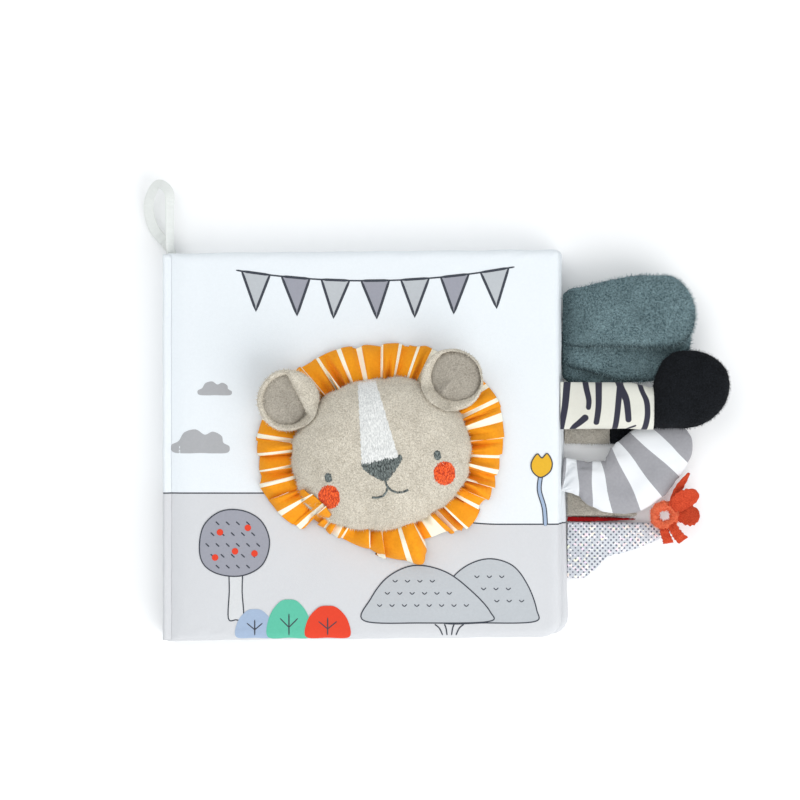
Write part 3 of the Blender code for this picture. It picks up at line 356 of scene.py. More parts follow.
day = bpy.data.worlds.new("day")
day.use_nodes = True
sky = day.node_tree.nodes["Background"]
seen = node(day.node_tree, "ShaderNodeBackground", {"Color": (1, 1, 1, 1), "Strength": 1.0})
rays = node(day.node_tree, "ShaderNodeLightPath").outputs["Is Camera Ray"]
both = node(day.node_tree, "ShaderNodeMixShader", {0: rays, 1: sky.outputs[0], 2: seen.outputs[0]})
sky.inputs["Color"].default_value = (*DAY_COLOUR, 1)
sky.inputs["Strength"].default_value = DAY_STRENGTH
day.node_tree.links.new(both.outputs[0], day.node_tree.nodes["World Output"].inputs["Surface"])
bpy.context.scene.world = day
bpy.context.scene.view_settings.view_transform = "Standard"


# Leaves. Each is two panels of cotton sewn together and turned, with crinkle film between, so it is flat,
# with a soft rounded edge that puckers at the seam. The cover is printed in two tones that meet in a dark
# line.
LEAF_SLANT = 1.9 * MM
SLANT_PIVOT_SHARE = 0.3
LEAF_CORNER = 8.0 * MM
LEAF_TOP_CORNER = 3.0 * MM
SPINE_CORNER = 1.5 * MM
SEAM_ROUND = 4.0 * MM
SEAM_TAPER = 12.0 * MM
SEAM_LIP = 0.15 * MM
SIDE_POINTS = 56
CORNER_POINTS = 6
LEAF_INSETS = tuple(
    step * MM
    for step in (0, 0.35, 0.8, 1.4, 2.1, 3.0, 4.2, 5.8, 7.8, 10, 13, 17, 22, 28, 35, 43, 52, 61, 70, 78, 84)
)
PUCKER_LENGTH = 7.0 * MM
PUCKER_REACH = 9.0 * MM
PUCKER_DEPTH = 0.55 * MM
CRINKLE_LENGTH = 17.0 * MM
CRINKLE_DEPTH = 0.80 * MM
RIDGE_LENGTH = 1.9 * CRINKLE_LENGTH
RELIEF_START = 1.2 * MM
LEAF_SLACK = 0.2 * MM
EDGE_WANDER = 0.35 * MM
EDGE_WANDER_LENGTH = 0.012
CRINKLE_PROUD = 0.35 * MM
SKY_COLOUR = (0.815, 0.855, 0.885)
GROUND_COLOUR = (0.655, 0.662, 0.680)
LINE_COLOUR = (0.060, 0.066, 0.080)
LINE_HALF_WIDTH = 0.32 * MM
PRINT_SHADE = (0.95, 0.95, 0.95)
PRINT_PITCH = 0.45 * MM
PRINT_WEAVE_DEPTH = 0.05 * MM
# where the two tones meet: level on the left, then falling behind the head, and level again on the right
HORIZON_LEFT_Y = -21.3 * MM
HORIZON_RIGHT_Y = -35.4 * MM
HORIZON_TURN_START = -30.0 * MM
HORIZON_TURN_END = 62.0 * MM


def slanted(x, left, width):
    """How far the leaves' upper and lower edges have crept up at a place across the book."""
    return LEAF_SLANT * ((x - left) / width - SLANT_PIVOT_SHARE)


def leaf_loop(left, top_right, bottom_right, half_height, inset, spine_inset):
    """Points round a leaf, drawn in by inset, and by spine_inset next to the spine."""
    low = -half_height + inset
    high = half_height - inset
    near = left + spine_inset
    corners = (
        (bottom_right - inset, low, max(LEAF_CORNER - inset, SEAM_LIP), -90),
        (top_right - inset, high, max(LEAF_TOP_CORNER - inset, SEAM_LIP), 0),
        (near, high, SPINE_CORNER, 90),
        (near, low, SPINE_CORNER, 180),
    )
    turned = []
    for x, y, radius, start in corners:
        across = -radius if start in (-90, 0) else radius
        middle = Vector((x + across, y + (radius if start in (-90, 180) else -radius)))
        turned.append(
            [
                middle + Vector((math.cos(angle), math.sin(angle))) * radius
                for angle in (math.radians(start + 90 * k / (CORNER_POINTS - 1))
                              for k in range(CORNER_POINTS))
            ]
        )
    loop = []
    for k, corner in enumerate(turned):
        loop += corner
        ahead = turned[(k + 1) % len(turned)][0]
        loop += [corner[-1].lerp(ahead, step / SIDE_POINTS) for step in range(1, SIDE_POINTS)]
    width = max(top_right, bottom_right) - left
    return [Vector((point.x, point.y + slanted(point.x, left, width))) for point in loop]


def leaf_relief(x, y, inset, along, seed):
    """How far a panel's cloth stands off its even shape: puckers at the seam, the film's crinkles inside."""
    near = math.exp(-inset / PUCKER_REACH)
    start = min(inset / RELIEF_START, 1)
    pucker = uneven(along / PUCKER_LENGTH, inset / (4 * PUCKER_LENGTH), seed)
    film = uneven(x / CRINKLE_LENGTH, y / CRINKLE_LENGTH, seed + 5.5)
    ridges = 1 - abs(uneven(x / RIDGE_LENGTH, y / RIDGE_LENGTH, seed + 9.5)) * 2
    return start * (PUCKER_DEPTH * near * pucker
                    + CRINKLE_DEPTH * (1 - near) * (0.55 * film + 0.30 * (ridges - 0.7)))


def make_leaf(name, outer, inner, materials, body, seed):
    """A padded leaf in the place of its two panels and its film."""
    nodes = (f"{name}_{outer}", f"{name}_{inner}", f"{name}_crinkle_film")
    lows = [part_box(part)[0] for part in nodes]
    highs = [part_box(part)[1] for part in nodes]
    left = lows[0].x
    right = highs[0].x
    middle = (min(low.z for low in lows) + max(high.z for high in highs)) / 2
    half = (max(high.z for high in highs) - min(low.z for low in lows)) / 2
    half_height = (highs[0].y - lows[0].y - LEAF_SLANT) / 2 + LEAF_SLACK
    top_right = right - BACK_TAPER if name == "back_cover" else right
    rows = []
    places = []
    sides = [(1, inset) for inset in reversed(LEAF_INSETS)] + [(-1, inset) for inset in LEAF_INSETS]
    for side, inset in sides:
        spine_inset = inset - SEAM_ROUND + SEAM_TAPER
        if inset < SEAM_ROUND:
            spine_inset = min(inset * SEAM_TAPER / SEAM_ROUND, SEAM_TAPER)
        loop = leaf_loop(left, top_right, right, half_height, inset, spine_inset)
        row = []
        place = []
        along = 0.0
        for k, point in enumerate(loop):
            if k:
                along += (point - loop[k - 1]).length
            share = math.sqrt(1 - (1 - min(inset / SEAM_ROUND, 1)) ** 2)
            near_spine = min(max((point.x - left) / SEAM_TAPER, 0), 1)
            share *= near_spine + (1 - near_spine) * share
            relief = leaf_relief(point.x, point.y, min(inset, point.x - left + inset), along, seed + side)
            height = SEAM_LIP + (half - SEAM_LIP) * share + relief * side * share
            wander = EDGE_WANDER * uneven(
                point.x / EDGE_WANDER_LENGTH, point.y / EDGE_WANDER_LENGTH, seed
            ) * (1 - share)
            height = min(height, half + CRINKLE_PROUD) if side > 0 else min(height, half)
            row.append(Vector((point.x + wander * (point.x > left + SEAM_TAPER), point.y + wander,
                               middle + side * height)))
            place.append((point.x, point.y))
        rows.append(row)
        places.append([*place, place[0]])
    upper_rows = len(LEAF_INSETS) - 1
    piece = cloth_piece(f"{name}_cloth", rows, materials, ends="closed", places=places,
                        pick=lambda r: 0 if r <= upper_rows else 1)
    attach(piece, body)
    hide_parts(*nodes)
    return piece


def two_tone_material(name, above, below, left_y, right_y):
    """Printed cotton: one tone above a horizon, another below it, and a dark line where they meet."""
    material, tree, shader = cloth_material(name, 0.85, 0.15)
    place = node(tree, "ShaderNodeTexCoord").outputs["Object"]
    axes = node(tree, "ShaderNodeSeparateXYZ", {0: place}).outputs
    horizon = node(
        tree, "ShaderNodeMapRange",
        {"Value": axes[0], "From Min": HORIZON_TURN_START, "From Max": HORIZON_TURN_END,
         "To Min": left_y, "To Max": right_y},
        interpolation_type="SMOOTHSTEP",
    ).outputs[0]
    over = maths(tree, "SUBTRACT", axes[1], horizon)
    sky_share = maths(tree, "GREATER_THAN", over, 0.0)
    line = maths(tree, "LESS_THAN", maths(tree, "ABSOLUTE", over), LINE_HALF_WIDTH)
    cotton = group_node(tree, weave, {"Place": place, "Pitch": PRINT_PITCH})
    inked = mixed(tree, line, mixed(tree, sky_share, below, above), LINE_COLOUR)
    shade = mixed(tree, cotton["Shade"], PRINT_SHADE, WHITE)
    tree.links.new(mixed(tree, 1.0, inked, shade, "MULTIPLY"), shader.inputs["Base Color"])
    bumped(tree, shader, cotton["Height"], PRINT_WEAVE_DEPTH)
    return material


BACK_TAPER = 3.7 * MM
cover_print = two_tone_material("cover_print", SKY_COLOUR, GROUND_COLOUR, HORIZON_LEFT_Y, HORIZON_RIGHT_Y)
page_print = two_tone_material("page_print", SKY_COLOUR, GROUND_COLOUR, HORIZON_RIGHT_Y, HORIZON_RIGHT_Y)
front_leaf = make_leaf("front_cover", "outer", "inner", [cover_print, page_print], "front_cover", 1.0)
make_leaf("middle_leaf", "front", "back", [page_print, page_print], "middle_leaf", 21.0)
make_leaf("back_cover", "inner", "outer", [page_print, cover_print], "back_cover", 41.0)


# Spine. A strip of the cover's cotton wraps round the left edges of the leaves, in two halves that meet
# at the spine's middle.
SPINE_CLOTH = 0.8 * MM
SPINE_BOW = 0.9 * MM
SPINE_LAP = 2.8 * MM
SPINE_LAP_LIFT = 0.25 * MM
SPINE_ROWS = 9
SPINE_COLUMNS = 90
SPINE_PUCKER = 0.25 * MM
SPINE_PUCKER_LENGTH = 0.006
SPINE_PUCKER_HEIGHT = 0.012
SPINE_INNER_GAP = 0.3 * MM
ABOVE_ALL = 0.2

hinges = {joint["child"]: Vector(joint["pos_m"]) for joint in frame["joints"]}
spine_low, spine_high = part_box("spine_band")
spine_middle = (hinges["middle_leaf"].z + hinges["front_cover"].z) / 2


def surface_under(piece):
    """A height lookup on a finished piece: where a plumb line dropped from above meets it."""
    piece.data.calc_loop_triangles()
    corners = [tuple(triangle.vertices) for triangle in piece.data.loop_triangles]
    tree = BVHTree.FromPolygons([vertex.co for vertex in piece.data.vertices], corners)

    def height(x, y):
        hit = tree.ray_cast(Vector((x, y, ABOVE_ALL)), Vector((0, 0, -1)))[0]
        return hit.z if hit else None

    return height


cover_height = surface_under(front_leaf)
lap_drop = spine_high.z + SPINE_LAP_LIFT - cover_height(spine_low.x + SPINE_BOW + SPINE_CLOTH + SPINE_LAP, 0)


def spine_half(name, low, high, lap_side):
    """Half of the spine's strip, from a lap over the outer leaf's edge to the middle of the spine's back."""
    profile = []
    edge = spine_low.x + SPINE_BOW + SPINE_CLOTH
    for row in range(SPINE_ROWS + 1):
        share = row / SPINE_ROWS
        z = low + (high - low) * share
        whole = (z - spine_low.z) / (spine_high.z - spine_low.z)
        profile.append((edge - SPINE_CLOTH - SPINE_BOW * math.sin(math.pi * min(max(whole, 0), 1)), z, 0))
    lap_z = high if lap_side > 0 else low
    lap = [
        (edge + SPINE_LAP * share, lap_z + lap_side * (2 * SPINE_LAP_LIFT - lap_drop * share ** 1.6), 1)
        for share in (0.0, 0.2, 0.4, 0.6, 0.8, 1.0)
    ]
    profile = profile + lap if lap_side > 0 else list(reversed(lap)) + profile
    rows = []
    places = []
    for face in (1, -1):
        for k in range(SPINE_COLUMNS + 1):
            y = spine_low.y + (spine_high.y - spine_low.y) * k / SPINE_COLUMNS
            row = []
            for x, z, lapped in profile:
                bulge = SPINE_PUCKER * uneven(y / SPINE_PUCKER_LENGTH, z / SPINE_PUCKER_HEIGHT, 3.3)
                inward = 0.0 if face > 0 else SPINE_INNER_GAP
                row.append(Vector((x + bulge + inward * (1 - lapped), y, z - inward * lapped * lap_side)))
            rows.append(row)
            places.append([(y, x + z) for x, z, lapped in profile])
        if face > 0:
            front_rows, front_places = rows, places
            rows, places = [], []
    rows = front_rows + list(reversed(rows))
    places = front_places + list(reversed(places))
    loops = [list(row) for row in zip(*rows)]
    turned = [[*spots, spots[0]] for spots in zip(*places)]
    piece = cloth_piece(name, loops, [cover_print], ends="open", places=turned)
    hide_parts("spine_band")
    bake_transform(piece)
    return piece


spine_half("spine_below", spine_low.z, spine_middle, -1)
spine_half("spine_above", spine_middle, spine_high.z, 1)


# Cover print. Generic garden shapes in flat ink lie on the cotton: a garland of pennants, clouds, a round
# tree, bushes, hills, a bud and grass. Each shape is an outline filled with one ink and drawn round with
# a thin line.
INK_STEP = 0.05 * MM
INK_LIFT = 0.06 * MM
PRINT_SPACING = 1.3 * MM
INKS = {
    "ink_dark": (0.060, 0.066, 0.082), "ink_grey": (0.345, 0.350, 0.400), "ink_cloud": (0.430, 0.435, 0.450),
    "ink_white": (0.84, 0.85, 0.86), "ink_pale": (0.520, 0.545, 0.570), "ink_blue": (0.38, 0.48, 0.64),
    "ink_green": (0.125, 0.54, 0.38), "ink_red": (0.78, 0.065, 0.030), "ink_yellow": (0.80, 0.46, 0.035),
    "ink_trunk": (0.70, 0.71, 0.72),
}
STROKE = 0.55 * MM
GARLAND_STROKE = 0.7 * MM
PENNANT_STROKE = 1.15 * MM
TUFT_STROKE = 0.45 * MM
THIN_STROKE = 0.5 * MM
GRASS_STROKE = 0.6 * MM
STALK_STROKE = 1.3 * MM
STALK_EDGE_STROKE = 2.3 * MM
FRUIT_RADIUS = 1.5 * MM

ink_names = list(INKS)
ink_materials = [woven_material(name, INKS[name], pitch=PRINT_PITCH, shade=0.90, sheen=0.1)
                 for name in ink_names]


print_mesh = bpy.data.meshes.new("cover_print_shapes")
printed = bmesh.new()


def printed_point(x, y, layer):
    """A point of the print, just above the cotton and what is printed under it."""
    return printed.verts.new((x, y, (cover_height(x, y) or COVER_TOP) + INK_LIFT + INK_STEP * layer))


def fill(ink, outline, layer=0):
    """Fills an outline with one ink, in rings that follow the cotton. layer says what it is printed over."""
    middle = sum(outline, Vector((0, 0))) / len(outline)
    far = max((point - middle).length for point in outline)
    steps = max(2, math.ceil(far / PRINT_SPACING))
    rings = [[printed_point(*middle.lerp(point, step / steps), layer) for point in outline]
             for step in range(1, steps + 1)]
    centre = printed_point(*middle, layer)
    count = len(outline)
    for i in range(count):
        j = (i + 1) % count
        faces = [printed.faces.new((centre, rings[0][i], rings[0][j]))]
        for inner, outer in zip(rings, rings[1:]):
            faces.append(printed.faces.new((inner[i], outer[i], outer[j], inner[j])))
        for face in faces:
            face.material_index = ink_names.index(ink)


def stroke(ink, line, width=STROKE, closed=False, layer=1):
    """Draws a line of one ink, with blunt rounded ends."""
    count = len(line)
    pairs = []
    for i, point in enumerate(line):
        ahead = line[(i + 1) % count] if closed else line[min(i + 1, count - 1)]
        behind = line[i - 1] if closed or i else line[0]
        along = (ahead - behind).normalized()
        half = width / 2
        if not closed and i in (0, count - 1):
            half *= 0.5
        side = Vector((-along.y, along.x)) * half
        pairs.append((printed_point(*(point + side), layer), printed_point(*(point - side), layer)))
    for i in range(count if closed else count - 1):
        j = (i + 1) % count
        face = printed.faces.new((pairs[i][0], pairs[i][1], pairs[j][1], pairs[j][0]))
        face.material_index = ink_names.index(ink)


def rounded(points, steps=8):
    """A smooth closed outline through places in mm."""
    return spline([Vector((x * MM, y * MM)) for x, y in points], steps, closed=True)


def straight(points, step=2.5 * MM):
    """The points of a chain of straight lines, close enough together to follow the cotton."""
    made = []
    chain = [Vector((x * MM, y * MM)) for x, y in points]
    for a, b in zip(chain, chain[1:]):
        count = max(1, math.ceil((b - a).length / step))
        made += [a.lerp(b, k / count) for k in range(count)]
    return [*made, chain[-1]]


def curve(points, steps=6):
    """A smooth line through places in mm."""
    return spline([Vector((x * MM, y * MM)) for x, y in points], steps)


def drawn(ink, outline, width=STROKE, layer=0):
    """Fills an outline with one ink and draws round it."""
    fill(ink, outline, layer)
    stroke("ink_dark", outline, width, closed=True, layer=layer + 1)


# the garland hangs in a shallow sag across the head of the cover
GARLAND_LEFT = (-57.0, 79.5)
GARLAND_RIGHT = (69.0, 81.0)
GARLAND_SAG = 5.5
PENNANTS = 7
PENNANT_WIDTH = 12.6
PENNANT_DROP = 17.0


def garland_at(share):
    """The place in mm at a share of the garland's length."""
    x = GARLAND_LEFT[0] + (GARLAND_RIGHT[0] - GARLAND_LEFT[0]) * share
    y = GARLAND_LEFT[1] + (GARLAND_RIGHT[1] - GARLAND_LEFT[1]) * share - 4 * GARLAND_SAG * share * (1 - share)
    return x, y


stroke("ink_dark", curve([garland_at(k / 14) for k in range(15)]), width=GARLAND_STROKE)
for pennant in range(PENNANTS):
    middle_share = (pennant + 0.5) / PENNANTS
    reach = PENNANT_WIDTH / 2 / (GARLAND_RIGHT[0] - GARLAND_LEFT[0])
    left_x, left_y = garland_at(middle_share - reach)
    right_x, right_y = garland_at(middle_share + reach)
    swing = 0.9 * math.sin(2.4 * pennant)
    tip = ((left_x + right_x) / 2 + swing, (left_y + right_y) / 2 - PENNANT_DROP)
    flag = straight([(left_x, left_y), tip, (right_x, right_y), (left_x, left_y)])[:-1]
    drawn("ink_grey" if pennant % 2 else "ink_pale", flag, width=PENNANT_STROKE)

# two clouds on the left, the smaller one above
CLOUD = [(-14.5, -5.6), (-15.6, -2.0), (-11.5, 0.4), (-8.6, 4.8), (-2.6, 6.4), (2.2, 3.6), (6.4, 5.2),
         (11.0, 3.0), (12.0, -0.6), (15.2, -2.6), (14.2, -5.8), (7.0, -6.2), (0.0, -6.0), (-7.0, -6.2)]
for cloud_x, cloud_y, cloud_size in ((-73.0, 2.0, 0.86), (-66.5, 26.0, 0.5)):
    fill("ink_cloud", rounded([(cloud_x + cloud_size * x, cloud_y + cloud_size * y) for x, y in CLOUD], 5))

# two low hills on the right, one before the other
drawn("ink_pale", rounded([(34, -79), (38, -64), (46, -55), (57, -51), (68, -54), (75, -63), (79, -74),
                           (78, -79.4), (56, -80)], 8))
drawn("ink_pale", rounded([(1, -79), (4, -69), (12, -59), (24, -54), (38, -57), (50, -66), (58, -75),
                           (57, -79.4), (28, -80)], 8), layer=2)
TUFT_ROWS = (
    (-61.5, 15.0, 4, 3), (-67.0, 11.5, 6, 3), (-72.5, 8.0, 8, 3), (-59.5, 52.0, 3, 1), (-65.0, 55.0, 3, 1),
    (-70.5, 61.0, 3, 1),
)
for row_y, row_start, row_count, layer in TUFT_ROWS:
    for column in range(row_count):
        tuft_x = row_start + 5.6 * column
        tuft = curve([(tuft_x - 1.1, row_y + 0.9), (tuft_x, row_y), (tuft_x + 1.1, row_y + 0.9)])
        stroke("ink_dark", tuft, width=TUFT_STROKE, layer=layer)

# a bud on a tall stalk at the right edge
STALK = [(82.4, -28.0), (80.2, -20.0), (80.8, -13.6)]
stroke("ink_dark", curve([(83.0, -36.0), *STALK]), width=STALK_EDGE_STROKE)
stroke("ink_blue", curve([(83.0, -36.2), *STALK]), width=STALK_STROKE, layer=2)
drawn("ink_yellow", rounded([(80.8, -14.2), (77.2, -11.6), (76.6, -7.6), (79.2, -3.6), (81.4, -5.4),
                             (83.8, -3.4), (86.0, -7.4), (85.0, -11.6)], 6), layer=3)

# a round tree on the left, with fruit
drawn("ink_trunk", rounded([(-60.4, -78.0), (-60.0, -66), (-59.6, -54), (-54.4, -54), (-54.2, -66),
                            (-53.6, -78.0), (-57.0, -78.6)], 5))
drawn("ink_grey", rounded([(-73.5, -46.0), (-71.5, -36.0), (-64.0, -29.6), (-54.0, -29.2), (-45.5, -34.0),
                           (-41.8, -43.5), (-45.0, -53.6), (-54.0, -58.6), (-64.5, -58.0), (-71.5, -53.6)], 8),
      layer=2)
for row_number in range(5):
    for column in range(6):
        dash_x = -70.0 + 4.6 * column + (2.3 if row_number % 2 else 0)
        dash_y = -34.2 - 4.9 * row_number
        if ((dash_x + 57.6) / 14.6) ** 2 + ((dash_y + 44.0) / 13.0) ** 2 < 0.92:
            stroke("ink_dark", curve([(dash_x - 0.7, dash_y), (dash_x + 0.9, dash_y - 1.5)]),
                   width=GRASS_STROKE, layer=3)
for fruit_x, fruit_y in ((-64.2, -39.0), (-51.6, -37.0), (-57.4, -47.6), (-66.4, -50.4), (-48.6, -48.6)):
    fill("ink_red", [Vector((fruit_x, fruit_y)) * MM + Vector((math.cos(a), math.sin(a))) * FRUIT_RADIUS
                     for a in (math.tau * k / 14 for k in range(14))], layer=4)

# three round bushes and a tuft of grass along the foot
for bush_x, bush_reach, bush_high, bush_ink, layer in (
    (-48.5, 8.4, 12.6, "ink_blue", 2), (-33.0, 9.6, 17.0, "ink_green", 4), (-15.5, 9.8, 14.2, "ink_red", 6),
):
    foot = -86.4
    bush = [(bush_x - bush_reach, foot), (bush_x - 0.92 * bush_reach, foot + 0.55 * bush_high),
            (bush_x - 0.45 * bush_reach, foot + 0.93 * bush_high), (bush_x, foot + bush_high),
            (bush_x + 0.45 * bush_reach, foot + 0.93 * bush_high),
            (bush_x + 0.92 * bush_reach, foot + 0.55 * bush_high),
            (bush_x + bush_reach, foot), (bush_x, foot - 0.4)]
    fill(bush_ink, rounded(bush, 6), layer)
    stroke("ink_dark", curve([(bush_x, foot + 0.8), (bush_x, foot + 0.62 * bush_high)]), width=GRASS_STROKE,
           layer=layer + 1)
    for side in (-1, 1):
        stroke("ink_dark", curve([(bush_x, foot + 0.26 * bush_high),
                                  (bush_x + side * 0.42 * bush_reach, foot + 0.50 * bush_high)]),
               width=THIN_STROKE, layer=layer + 1)
for blade in (-3, -1, 1, 3):
    stroke("ink_dark",
           curve([(39.5 + blade, -85.6), (39.5 + 1.5 * blade, -82.4), (39.5 + 2.2 * blade, -80.6)]),
           width=GRASS_STROKE)

bmesh.ops.recalc_face_normals(printed, faces=printed.faces)
for face in printed.faces:
    if face.normal.z < 0:
        face.normal_flip()
printed.to_mesh(print_mesh)
printed.free()
print_mesh.shade_smooth()
for material in ink_materials:
    print_mesh.materials.append(material)
cover_shapes = linked("cover_print_shapes", print_mesh)
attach(cover_shapes, "front_cover")


# Lion face. A stuffed cushion of short beige plush, sewn to the cover round its rim. It puckers at its
# seam, and its filling blows it up a little.
HEAD_TILT = math.radians(11.6)
HEAD_HALF_WIDTH = 41.2 * MM
HEAD_HALF_HEIGHT = 34.2 * MM
HEAD_SQUARENESS = 2.25
HEAD_SEGMENTS = 112
BROW_NARROWING_SHARE = 0.055
CHIN_SHARE = 0.022
# the face's profile: how far out each ring lies and how high, as shares of the outline and the rise
FACE_PROFILE_SHARES = (
    (0.93, 0.0), (0.972, 0.09), (0.996, 0.20), (1.0, 0.32), (0.972, 0.50), (0.90, 0.67), (0.78, 0.81), (0.60, 0.92),
    (0.36, 0.985), (0.13, 1.0), (0.015, 1.0),
)
FACE_RIM_PUCKER = 0.8 * MM
FACE_RIM_LENGTH = 6.5 * MM
FACE_LUMP = 1.1 * MM
FACE_LUMP_LENGTH = 26.0 * MM
FACE_COLOUR = (0.835, 0.775, 0.660)
FACE_DARK = (0.430, 0.385, 0.312)
PILE_BUMP = 0.5 * MM
FIBRE_WIDTH = 0.26 * MM
FINE_FIBRE_WIDTH = 0.24 * MM
FACE_FIBRE_LENGTH = 1.15 * MM
FACE_ROUGH = 0.28 * MM
ROUGH_LENGTH = 1.1 * MM
PUFF_MOST = 1.2 * MM
BARE_RIM = 2 * MM

face_low, face_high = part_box("lion_face")
HEAD_MIDDLE = (face_low + face_high) / 2
FACE_RISE = face_high.z - face_low.z
head_place = Matrix.Translation((HEAD_MIDDLE.x, HEAD_MIDDLE.y, 0)) @ Matrix.Rotation(HEAD_TILT, 4, "Z")

# Short pile: fine fibres that stand at all angles, and broader patches where the pile lies one way or the
# other
pile, pile_in, pile_out = node_group(
    "short_pile",
    [("Place", "NodeSocketVector", None), ("Fibre", "NodeSocketFloat", 0.0006),
     ("Patch", "NodeSocketFloat", 0.006)],
    [("Height", "NodeSocketFloat"), ("Shade", "NodeSocketFloat")],
)
fibre_scale = maths(pile, "DIVIDE", 1.0, pile_in["Fibre"])
patch_scale = maths(pile, "DIVIDE", 1.0, pile_in["Patch"])
fibre_noise = node(pile, "ShaderNodeTexNoise",
                   {"Vector": pile_in["Place"], "Scale": fibre_scale, "Detail": 3.0, "Roughness": 0.7})
patch_noise = node(pile, "ShaderNodeTexNoise",
                   {"Vector": pile_in["Place"], "Scale": patch_scale, "Detail": 2.0})
patches = maths(pile, "MULTIPLY", maths(pile, "SUBTRACT", patch_noise.outputs[0], 0.5), 0.6)
fibres = maths(pile, "MULTIPLY", maths(pile, "SUBTRACT", fibre_noise.outputs[0], 0.5), 2.8)
pile.links.new(fibre_noise.outputs[0], pile_out["Height"])
shade_sum = node(pile, "ShaderNodeMath", {0: maths(pile, "ADD", fibres, patches), 1: 0.5},
                 operation="ADD", use_clamp=True)
pile.links.new(shade_sum.outputs[0], pile_out["Shade"])


def plush_material(name, dark, light, fibre=0.62 * MM, patch=9.0 * MM, depth=PILE_BUMP, sheen=0.35):
    """Plush: the colour runs from dark between the fibres to light at their tips."""
    material, tree, shader = cloth_material(name, 0.95, sheen, light)
    place = node(tree, "ShaderNodeTexCoord").outputs["Object"]
    fur = group_node(tree, pile, {"Place": place, "Fibre": fibre, "Patch": patch})
    tree.links.new(mixed(tree, fur["Shade"], dark, light), shader.inputs["Base Color"])
    bumped(tree, shader, fur["Height"], depth)
    return material


def settled(piece):
    """Applies a piece's modifiers to its mesh."""
    shown = piece.evaluated_get(bpy.context.evaluated_depsgraph_get())
    mesh = bpy.data.meshes.new_from_object(shown)
    piece.modifiers.clear()
    piece.data = mesh
    return piece


def smoothed(piece, levels=1):
    """Divides a piece's faces and rounds them."""
    divide = piece.modifiers.new("smooth", "SUBSURF")
    divide.use_limit_surface = False
    divide.levels = levels
    divide.render_levels = levels
    return settled(piece)


def roughened(piece, depth, length, seed=0.0):
    """Moves every point along its normal by an even noise, and none below the table."""
    shift = Vector((seed, seed, seed))
    normals = [normal.vector.copy() for normal in piece.data.vertex_normals]
    for vertex, normal in zip(piece.data.vertices, normals):
        vertex.co += normal * depth * noise.noise(vertex.co / length + shift)
        vertex.co.z = max(vertex.co.z, 0)
    return piece


PUFF_FRAMES = 20
PUFF_SCALE = 10.0


def puffed(piece, pressure=4.0, most=PUFF_MOST, pinned=()):
    """Blows a sewn piece up as its filling does. No point moves further than most, and pinned ones stay."""
    rest = [vertex.co.copy() for vertex in piece.data.vertices]
    for vertex in piece.data.vertices:
        vertex.co *= PUFF_SCALE
    cloth = piece.modifiers.new("filling", "CLOTH")
    cloth.settings.quality = 5
    cloth.settings.mass = 0.05
    cloth.settings.tension_stiffness = 20
    cloth.settings.compression_stiffness = 20
    cloth.settings.shear_stiffness = 8
    cloth.settings.bending_stiffness = 0.6
    cloth.settings.use_pressure = True
    cloth.settings.uniform_pressure_force = pressure
    cloth.settings.effector_weights.gravity = 0
    if pinned:
        group = piece.vertex_groups.new(name="seam")
        group.add(list(pinned), 1.0, "REPLACE")
        cloth.settings.vertex_group_mass = "seam"
    for frame_number in range(1, PUFF_FRAMES + 1):
        bpy.context.scene.frame_set(frame_number)
    shown = piece.evaluated_get(bpy.context.evaluated_depsgraph_get())
    blown = [vertex.co / PUFF_SCALE for vertex in shown.data.vertices]
    piece.modifiers.remove(cloth)
    bpy.context.scene.frame_set(1)
    for vertex, old, new in zip(piece.data.vertices, rest, blown):
        move = new - old
        if move.length > most:
            move *= most / move.length
        vertex.co = old + move
    piece.data.update()
    return piece


def face_edge(angle):
    """A point of the face's outline in its own frame: a soft oval, narrower at the brow, with a chin."""
    cosine = math.cos(angle)
    sine = math.sin(angle)
    power = 2 / HEAD_SQUARENESS
    x = HEAD_HALF_WIDTH * math.copysign(abs(cosine) ** power, cosine)
    y = HEAD_HALF_HEIGHT * math.copysign(abs(sine) ** power, sine)
    x *= 1 - BROW_NARROWING_SHARE * max(sine, 0)
    y *= 1 + CHIN_SHARE * math.exp(-12 * cosine * cosine) * (sine < 0)
    return Vector((x, y, 0))


# the embroidery's outlines in the face's own frame, which also keep the pile away from under it
STRIPE_TOP_Y = 33.5 * MM
STRIPE_TOP_WIDTH = 7.6 * MM
STRIPE_BOTTOM_Y = -2.4 * MM
STRIPE_BOTTOM_WIDTH = 16.4 * MM
NOSE_WIDTH = 18.0 * MM
NOSE_HEIGHT = 8.6 * MM
NOSE_X = -0.1 * MM
STRIPE_TOP_X = 0.4 * MM
STRIPE_BOTTOM_X = -0.7 * MM
CHEEK_RADIUS = 4.7 * MM
CHEEK_SPREAD = 26.1 * MM
CHEEK_Y = -13.8 * MM
EYE_WIDTH = 3.1 * MM
EYE_HEIGHT = 3.4 * MM
EYE_SPREAD = 24.6 * MM
EYE_Y = -5.2 * MM
NOSE_SHARES = (
    (-0.50, 0.02), (-0.25, 0.03), (0.0, 0.03), (0.25, 0.03), (0.50, 0.02), (0.49, -0.12), (0.37, -0.42),
    (0.20, -0.74), (0.03, -1.0), (-0.07, -1.0), (-0.22, -0.74), (-0.38, -0.42), (-0.49, -0.12),
)


def oval(x, y, half_width, half_height, count=28):
    """The outline of an oval."""
    return [Vector((x + half_width * math.cos(a), y + half_height * math.sin(a)))
            for a in (math.tau * k / count for k in range(count))]


